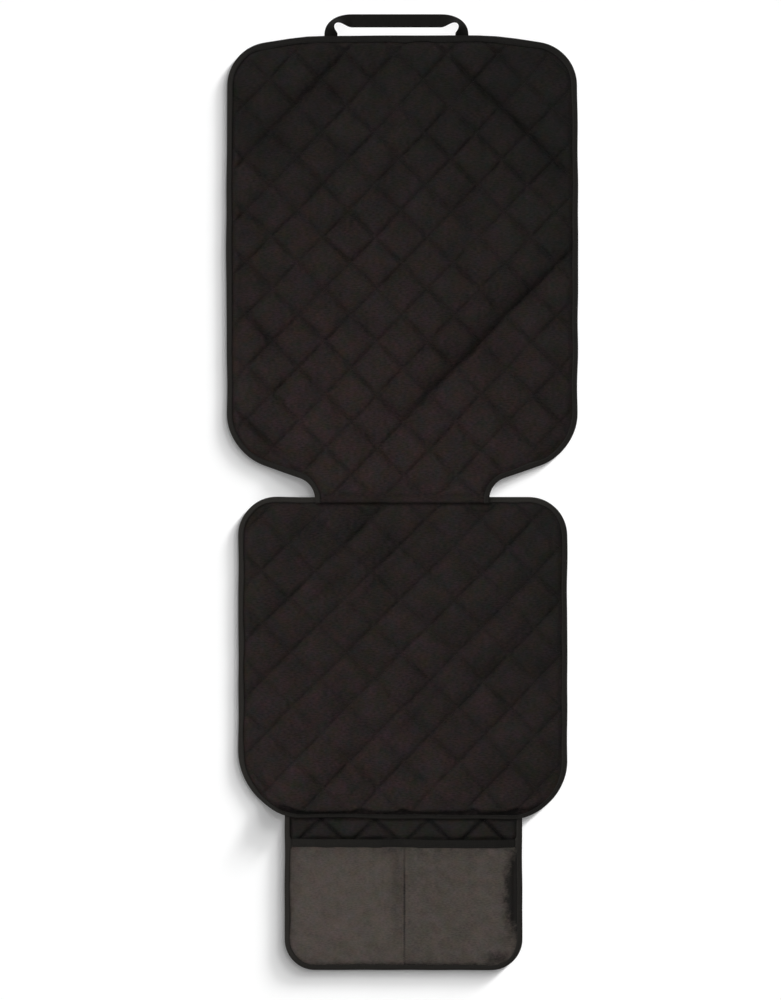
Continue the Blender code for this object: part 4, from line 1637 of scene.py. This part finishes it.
# Painted shade and light on each tape's left, right, head and foot sides: how dark each is,
# lighter where negative.
TAPE_GLOOM = {
    "back": (-0.08, 0.0, 0.36, 0.0),
    "seat": (-0.34, 0.0, -0.46, 0.02),
    "flap": (-0.28, -0.24, 0.0, -0.09),
}


def bind_edge(name, path, closed, stack, lift, width, seed, wave, swell):
    """Binding tape round one panel, with the row of stitches along its inner edge.

    The tape's edge wanders by wave, its leg's width by a little, and its top swells and falls a
    little between the stitches. TAPE_GLOOM paints shade or light on its left, right, head and
    foot sides, by the square of how far each place faces that way.
    """
    sizes = bpy.context.scene.mat_sizes
    path, along = walked(path, closed, TAPE_STEP)
    x, y = path.T
    ahead = unit(np.gradient(path, axis=0))
    inward = left_of(ahead)
    wander = wave(x, y) * drift(x, y, seed, 0.07)
    edge = path + inward * wander[:, None]
    leg = width(x, y) * (1 + 0.07 * drift(x, y, seed + 1, 0.05))
    level = lift(x, y)
    dome = swell(x, y) * (1 + 0.35 * drift(x, y, seed + 2, 0.02))
    dome = dome + 0.00010 * np.cos(2 * np.pi * along / sizes.stitch)
    tall = stack + 0 * leg
    nose = np.clip(0.0062 - 0.4 * (leg - 0.0056), 0.0036, 0.0043)[:, None]
    profile = folded_tape(leg, tall, dome, nose)
    obj = carried(name + "_edge_tape", edge, closed, profile, level[:, None], along)
    faces = (inward[:, 0], -inward[:, 0], -inward[:, 1], inward[:, 1])
    gloom = sum(g * np.maximum(f, 0) ** 2 for g, f in zip(TAPE_GLOOM[name], faces))
    spread = np.repeat(gloom, profile.shape[1])
    keep_dark(obj, np.concatenate([spread, gloom[[0, -1]]])[: len(obj.data.vertices)])
    dressed(obj, tape_material)
    count = round(along[-1] / sizes.stitch)
    at = (np.arange(count) + 0.5) / count * along[-1]
    row = nose[:, 0] + (leg - nose[:, 0]) * STITCH_ROW
    seat = edge + inward * row[:, None]
    seam = [np.interp(at, along, seat[:, k]) for k in (0, 1)]
    seam.append(np.interp(at, along, level + stack + dome * 0.6 - 0.0002))
    heading = [np.interp(at, along, ahead[:, k]) for k in (0, 1)] + [0 * at]
    thread = stitches(
        name + "_edge_stitches",
        np.stack(seam, axis=1),
        np.stack(heading, axis=1),
        sizes.stitch * EDGE_STITCH,
        sizes.thread,
    )
    dressed(thread, thread_material)
    return obj


class MESH_OT_mat_bindings(MatOperator, bpy.types.Operator):
    """Add the binding tapes folded round the three panels"""

    bl_idname = "mesh.mat_bindings"
    bl_label = "Binding Tapes"

    def execute(self, context):
        def back_leg(x, y):
            return 0.0074 + 0.0018 * smooth((y - HEAD_Y + 0.05) / 0.04)

        def seat_leg(x, y):
            return 0.0074 - 0.0018 * smooth((SEAT_FRONT_Y + 0.04 - y) / 0.03)

        def flap_leg(x, y):
            from_hem = np.abs(y - MOUTH_Y + HEM_WIDTH / 2) - HEM_WIDTH / 2
            return 0.0072 + 0.0020 * (1 - smooth(from_hem / 0.003))

        def slight(x, y):
            return 0.0003 + 0 * x

        def wavy_front(x, y):
            return 0.0003 + 0.0009 * smooth((SEAT_FRONT_Y + 0.03 - y) / 0.02)

        def low(x, y):
            return 0.0005 + 0 * x

        def rolled_front(x, y):
            return 0.0005 + 0.0012 * smooth((SEAT_FRONT_Y + 0.03 - y) / 0.02)

        back, seat = back_corners(), seat_corners()
        flap = flap_corners(FLAP_TOP_Y)
        rows = (
            ("back", back, False, PANEL_STACK, back_lift, back_leg, 51, slight, low),
            ("seat", seat, True, PANEL_STACK, seat_lift, seat_leg, 61, wavy_front, rolled_front),
            ("flap", flap, False, FLAP_STACK, flap_lift, flap_leg, 71, slight, low),
        )
        for name, corners, closed, *rest in rows:
            obj = bind_edge(name, rounded(corners, closed), closed, *rest)
            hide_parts(name + "_binding")
        return {"FINISHED"}


class MESH_OT_mat_quilting_stitches(MatOperator, bpy.types.Operator):
    """Add the sewing thread along the quilting's stitch lines"""

    bl_idname = "mesh.mat_quilting_stitches"
    bl_label = "Quilting Stitches"

    def execute(self, context):
        sizes = context.scene.mat_sizes
        for panel in panels_once():
            per_line = round(2 * panel.reach * panel.pitch / sizes.stitch)
            along = (np.arange(per_line) + 0.5) / per_line * 2 * panel.reach - panel.reach
            lines = np.arange(-panel.reach, panel.reach)
            line, run = np.meshgrid(lines, along, indexing="ij")
            u = np.concatenate([line.ravel(), run.ravel()])
            v = np.concatenate([run.ravel(), line.ravel()])
            x, y = panel.drawn(u, v)
            lean = np.concatenate([-np.ones(line.size), np.ones(line.size)])
            keep = panel.depth(x, y) > RIM_BAND
            if panel.name == "flap":
                keep &= y > MOUTH_Y + 0.001
            if panel.name == "seat":
                keep &= ~((y > TONGUE_Y - 0.002) & (np.abs(x) < NECK_WIDTH / 2))
            x, y, lean = x[keep], y[keep], lean[keep]
            tiny = 0.0006
            step = np.stack([0 * lean + tiny, lean * tiny], axis=1)
            before = panel.surface(x - step[:, 0], y - step[:, 1])
            after = panel.surface(x + step[:, 0], y + step[:, 1])
            centres = panel.surface(x, y) + (0, 0, sizes.thread * 0.35)
            obj = stitches(
                panel.name + "_quilting_stitches",
                centres,
                after - before,
                sizes.stitch * QUILTING_STITCH,
                sizes.thread,
            )
            dressed(obj, thread_material)
        return {"FINISHED"}


POCKET_FOLDS = (
    (((514, 846), (513, 940)), None, (0.0062, 0.0050, 0.050)),
    (((508, 960), (478, 960)), None, (0.0026, 0.0040, 0.025)),
    (((404, 846), (404, 966)), (0.0010, 0.0030, 0.03), (0.0024, 0.0070, 0.03)),
)


# How deep the pocket cloth's ripples and wanderings are, and its middle seam's pull.
POCKET_RIPPLE = 0.0007
POCKET_WANDER = 0.0006
SEAM_PULL = 0.0007


def pocket_depth(x, y):
    """How far inside the flap's edge a place on the pocket lies."""
    outline = rounded(flap_corners(MOUTH_Y + 2 * BELLY_RUN), closed=True)
    return depth_inside(x, y, outline)


def pocket_level(x, y):
    """The underside of the pocket cloth.

    Each half bellies up between its seams, most at its mouth. It puckers under the hem,
    in waves that die out downwards, and wanders a little all over.
    """
    depth = pocket_depth(x, y)
    from_edge = smooth((depth - RIM_BAND) / BELLY_RUN)
    from_divider = smooth(np.abs(x - FLAP_OFFSET) / BELLY_RUN)
    up = np.clip((y - FOOT_Y) / (HEM_Y - FOOT_Y), 0, 1)
    belly = POCKET_BELLY * from_edge * from_divider * up**BELLY_SLUMP
    over_hem = smooth((y - HEM_Y + SETTLE) / SETTLE) * (TAPE_THICKNESS + CLEARANCE)
    inside = smooth((depth - TAPE_WIDTH) / 0.006)
    below = np.clip((HEM_Y - y) / 0.020, 0, 1)
    ripple = drift(x, 0 * x, 83, 0.013) * (1 - smooth(below)) * smooth(below * 6)
    ripple = ripple + 0.5 * drift(x, y * 0.35, 84, 0.030) * smooth(below * 2)
    wander = POCKET_WANDER * (drift(x, y, 85, 0.060) + 1)
    soft = (POCKET_RIPPLE * ripple + wander + heaped_by(POCKET_FOLDS, x, y)) * inside
    soft = soft * smooth((HEM_Y - y) / 0.004)
    pulled = SEAM_PULL * np.exp(-(((x - FLAP_OFFSET) / 0.0014) ** 2))
    return POCKET_RIM + over_hem + belly + soft - pulled * inside


def pocket_painted_shading(x, y):
    """The painted shade on the pocket: the share of light kept out, as exponentials from its
    edges and seams, more on the half right of its middle seam.
    """
    depth = pocket_depth(x, y) - 0.0072
    below = HEM_Y - y
    past_seam = x - FLAP_OFFSET
    total = 0.19 * np.exp(-np.maximum(depth, 0) / 0.0085)
    total = total + 0.15 * np.exp(-np.maximum(below, 0) / 0.010)
    total = total + 0.10 * np.exp(-np.maximum(past_seam, 0) / 0.040) * (past_seam > 0)
    total = total + 0.05 * drift(x, 0.4 * y, 87, 0.016) * np.exp(-np.abs(below) / 0.008)
    total = total + 0.05 * drift(x, y, 88, 0.014) * np.exp(-np.maximum(depth, 0) / 0.014)
    return total - 0.025


class MESH_OT_mat_pocket(MatOperator, bpy.types.Operator):
    """Add the divided pocket's cloth, the tape over its mouth and its middle seam"""

    bl_idname = "mesh.mat_pocket"
    bl_label = "Divided Pocket"

    def execute(self, context):
        sizes = context.scene.mat_sizes
        corners = flap_corners(MOUTH_Y)
        path = rounded(corners, closed=True)
        flat, quads, edge = laid_grid(path, *POCKET_STEPS, 0.0006)
        x, y = flat.T
        bottom = np.stack([x, y, pocket_level(x, y)], axis=1)
        top = bottom + (0, 0, POCKET_CLOTH)
        cloth = slab("pocket_front", flat, quads, edge, top, bottom)
        painted_shading = pocket_painted_shading(x, y)
        keep_dark(cloth, np.concatenate([painted_shading, 0 * painted_shading]))
        dressed(cloth, pocket_material)
        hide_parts("pocket_cloth")

        reach = FLAP_WIDTH / 2 - TAPE_WIDTH - 2 * CLEARANCE
        run = np.linspace(reach, -reach, round(2 * reach / TAPE_STEP) + 1)
        columns = FLAP_OFFSET + run
        sway = 0.0004 * drift(columns, 0 * columns, 91, 0.09) - 0.004 * run
        mouth = np.stack([columns, MOUTH_Y + sway], axis=1)
        level = pocket_level(columns, MOUTH_Y - EDGE_INSET + 0 * columns)
        level = level - CLEARANCE - TAPE_THICKNESS
        width = HEM_WIDTH - 0.0008 + 0.0003 * drift(columns, 0 * columns, 92, 0.04)
        height = POCKET_CLOTH + 2 * (TAPE_THICKNESS + CLEARANCE) + 0 * columns
        dome = 0.0003 + 0.00012 * drift(columns, 0 * columns, 93, 0.02)
        nose = HEM_NOSE + 0 * width[:, None]
        profile = folded_tape(width, height, dome, nose)
        along = reach - run
        hem = carried("pocket_mouth_tape", mouth, False, profile, level[:, None], along)
        # Painted shade on the hem towards its right end, painted light towards its left.
        gloom = np.repeat(0.28 * columns / reach, profile.shape[1])
        keep_dark(hem, np.concatenate([gloom, gloom[[0, -1]]]))
        dressed(hem, hem_material)
        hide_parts("pocket_hem")

        count = round(2 * reach / sizes.stitch)
        at = (np.arange(count) + 0.5) / count * 2 * reach
        seam_y = MOUTH_Y - HEM_NOSE - (HEM_WIDTH - HEM_NOSE) * STITCH_ROW
        seam_x = np.interp(at, along, columns)
        seam_z = np.interp(at, along, level + height + dome * 0.6 - 0.0001)
        places = np.stack([seam_x, seam_y + 0 * at, seam_z], axis=1)
        heading = np.tile([-1.0, 0.0, 0.0], (count, 1))
        length = sizes.stitch * EDGE_STITCH
        row = stitches("pocket_mouth_stitches", places, heading, length, sizes.thread)
        dressed(row, thread_material)

        down = np.arange(FOOT_Y + 0.0075, HEM_Y - 0.0015, sizes.stitch)
        middle = FLAP_OFFSET + 0 * down
        level = pocket_level(middle, down) + POCKET_CLOTH + sizes.thread * 0.3
        slope = np.gradient(level, down)
        places = np.stack([middle, down, level], axis=1)
        heading = np.stack([0 * down, 0 * down + 1, slope], axis=1)
        seam = stitches("pocket_middle_stitches", places, heading, length, sizes.thread)
        dressed(seam, thread_material)
        return {"FINISHED"}


class MESH_OT_mat_strap(MatOperator, bpy.types.Operator):
    """Add the webbing strap that loops out from under the head end"""

    bl_idname = "mesh.mat_strap"
    bl_label = "Hanging Strap"

    def execute(self, context):
        start = STRAP_THICKNESS
        turn = np.linspace(0, np.pi / 2, 41)
        across = np.maximum(np.cos(turn), 0) ** (2 / STRAP_CORNER_POWER)
        up = np.sin(turn) ** (2 / STRAP_CORNER_POWER)
        corner_x = -(STRAP_HALF_SPAN - STRAP_CORNER_REACH * (1 - across))
        corner_y = start + (STRAP_RISE - start) * up
        tip = STRAP_CORNER_TIP * np.sin(2 * turn)
        tail_y = np.linspace(-STRAP_TUCK, start, 9)[:-1]
        bar_x = np.linspace(corner_x[-1], 0, 25)[1:]
        left_x = np.concatenate([0 * tail_y - STRAP_HALF_SPAN, corner_x, bar_x])
        left_y = np.concatenate([tail_y, corner_y, 0 * bar_x + STRAP_RISE])
        tips = np.concatenate([0 * tail_y, tip, 0 * bar_x])
        x = np.concatenate([left_x, -left_x[-2::-1]]) + STRAP_OFFSET
        y = np.concatenate([left_y, left_y[-2::-1]]) + HEAD_Y
        tips = np.concatenate([tips, tips[-2::-1]])
        edge = np.stack([x, y], axis=1)
        along = run_along(edge)
        even = np.linspace(0, along[-1], STRAP_STATIONS)
        edge = at_lengths(edge, along, even)
        tips = np.interp(even, along, tips)
        w, t = STRAP_WIDTH, STRAP_THICKNESS
        share = np.linspace(0, 1, 15)
        bead = 0.5 * t * (1 - 0.35 * np.exp(-((np.minimum(share, 1 - share) / 0.05) ** 2)))
        bead = bead * (1 - 0.12 * np.cos(share * 2 * np.pi * STRAP_CORDS) ** 2)
        loop_across = np.concatenate([share, share[::-1]]) * w
        loop_up = np.concatenate([t / 2 + bead, t / 2 - bead[::-1]])
        sine, cosine = np.sin(tips)[:, None], np.cos(tips)[:, None]
        reach = loop_across * cosine + (t - loop_up) * sine
        height = loop_across * sine + loop_up * cosine
        profile = np.stack([-reach, height], axis=2)
        obj = carried("strap_webbing", edge, False, profile, 0.0, even)
        dressed(obj, webbing_material)
        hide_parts("hanging_strap")
        return {"FINISHED"}


FLOOR_HALF = 6.0
FLOOR_LEVEL = -0.0002
FLOOR_GLOW = 0.15
ROOM_LIGHT = 0.12

# The lamps: the side they shine from, elevation in degrees, strength, angle in degrees,
# what they light, and what casts their shadow if that isn't everything.
LAMPS = (
    ("window", (-1, 1), 50, 1.02, 40, "mat", None),
    ("ceiling", (-0.02, 0.02), 89, 1.77, 160, "mat", None),
    ("side", (-1, 0.4), 20, 1.0, 30, "tapes", None),
    ("low_floor_light", (1, 1), 8.5, 7.43, 7, "floor", "low"),
    ("middle_floor_light", (1, 1), 17, 3.10, 14, "floor", "low"),
    ("high_floor_light", (1, 1), 38, 1.08, 36, "floor", "low"),
)


class MESH_OT_mat_stage(MatOperator, bpy.types.Operator):
    """Add the floor, the lights, the world and the camera"""

    bl_idname = "mesh.mat_stage"
    bl_label = "Stage"

    def execute(self, context):
        scene = context.scene
        scene.view_settings.view_transform = "Standard"
        corners = FLOOR_HALF * np.array([(-1, -1), (1, -1), (1, 1), (-1, 1)])
        places = np.concatenate([corners, np.full((4, 1), FLOOR_LEVEL)], axis=1)
        floor = mesh_object("floor", places, np.array([[0, 1, 2, 3]]))
        floor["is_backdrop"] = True
        floor.data.materials.append(self.paper(scene.mat_colours.floor))

        world = bpy.data.worlds.new("soft_room")
        scene.world = world
        world.use_nodes = True
        tree = world.node_tree
        sky = tree.nodes["Background"]
        sky.inputs["Color"].default_value = (1, 1, 1, 1)
        seen = node(tree, "ShaderNodeLightPath").outputs["Is Camera Ray"]
        levels = {"Value": seen, "To Min": ROOM_LIGHT, "To Max": 1.0}
        level = node(tree, "ShaderNodeMapRange", levels)
        tree.links.new(level.outputs["Result"], sky.inputs["Strength"])

        pieces = list(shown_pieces())
        tapes = [obj for obj in pieces if obj.name.endswith("_edge_tape")]
        low = tapes + [obj for obj in pieces if obj.name.endswith("_grip_net")]
        groups = {}
        rows = (("mat", pieces), ("tapes", tapes), ("low", low), ("floor", [floor]))
        for name, members in rows:
            groups[name] = bpy.data.collections.new("stage_" + name)
            for obj in members:
                groups[name].objects.link(obj)
        for name, side, elevation, strength, angle, lit, shading in LAMPS:
            lamp = self.lamp(name, side, elevation, strength, angle)
            lamp.light_linking.receiver_collection = groups[lit]
            if shading is not None:
                lamp.light_linking.blocker_collection = groups[shading]

        camera = bpy.data.cameras.new("camera")
        camera.lens = LENS
        camera.sensor_width = SENSOR
        seat = bpy.data.objects.new("camera", camera)
        x, y = place(*FRAME_MIDDLE)
        seat.location = (x, y, LENS / SENSOR * PIXEL * FRAME_HEIGHT)
        scene.collection.objects.link(seat)
        scene.camera = seat
        return {"FINISHED"}

    def paper(self, colour):
        """Matte white that glows a little for rays that end in the picture."""
        made = bpy.data.materials.new("white_floor")
        made.use_nodes = True
        tree = made.node_tree
        tree.nodes.clear()
        matte = node(tree, "ShaderNodeBsdfDiffuse", {"Color": (*colour, 1)})
        path = node(tree, "ShaderNodeLightPath")
        seen = path.outputs["Is Camera Ray"]
        for ray in ("Is Glossy Ray", "Is Transmission Ray"):
            seen = math_node(tree, "MAXIMUM", seen, path.outputs[ray])
        glow = math_node(tree, "MULTIPLY", seen, FLOOR_GLOW)
        bright = node(tree, "ShaderNodeEmission", {"Strength": glow})
        both = node(tree, "ShaderNodeAddShader", {0: matte.outputs[0], 1: bright.outputs[0]})
        node(tree, "ShaderNodeOutputMaterial", {"Surface": both.outputs[0]})
        return made

    def lamp(self, name, side, elevation, strength, angle):
        """A broad far lamp that shines from this side."""
        light = bpy.data.lights.new(name, "SUN")
        light.energy = strength
        light.angle = math.radians(angle)
        obj = bpy.data.objects.new(name, light)
        tall = math.tan(math.radians(elevation)) * math.hypot(*side)
        obj.rotation_euler = Vector((*side, tall)).to_track_quat("Z", "Y").to_euler()
        bpy.context.scene.collection.objects.link(obj)
        return obj


class VIEW3D_PT_seat_mat(bpy.types.Panel):
    """Lists the mat's pieces, sizes and colours"""

    bl_idname = "VIEW3D_PT_seat_mat"
    bl_label = "Seat Mat"
    bl_space_type = "VIEW_3D"
    bl_region_type = "UI"
    bl_category = "Seat Mat"

    def draw(self, context):
        layout = self.layout
        for group in (context.scene.mat_sizes, context.scene.mat_colours):
            for name in group.__annotations__:
                layout.prop(group, name)
        for operator in OPERATORS:
            layout.operator(operator.bl_idname)


OPERATORS = (
    MESH_OT_mat_quilted_cloths,
    MESH_OT_mat_backings,
    MESH_OT_mat_bindings,
    MESH_OT_mat_quilting_stitches,
    MESH_OT_mat_pocket,
    MESH_OT_mat_strap,
    MESH_OT_mat_stage,
)
CLASSES = (MatSizes, MatColours, *OPERATORS, VIEW3D_PT_seat_mat)


def register():
    """Registers the classes and gives each scene its sizes and colours."""
    for kind in CLASSES:
        bpy.utils.register_class(kind)
    bpy.types.Scene.mat_sizes = bpy.props.PointerProperty(type=MatSizes)
    bpy.types.Scene.mat_colours = bpy.props.PointerProperty(type=MatColours)


def unregister():
    """Takes away what register added."""
    del bpy.types.Scene.mat_colours
    del bpy.types.Scene.mat_sizes
    for kind in reversed(CLASSES):
        bpy.utils.unregister_class(kind)


def main():
    """Builds every piece in order."""
    register()
    bpy.ops.mesh.mat_quilted_cloths()
    bpy.ops.mesh.mat_backings()
    bpy.ops.mesh.mat_bindings()
    bpy.ops.mesh.mat_quilting_stitches()
    bpy.ops.mesh.mat_pocket()
    bpy.ops.mesh.mat_strap()
    bpy.ops.mesh.mat_stage()


if __name__ == "__main__":
    main()
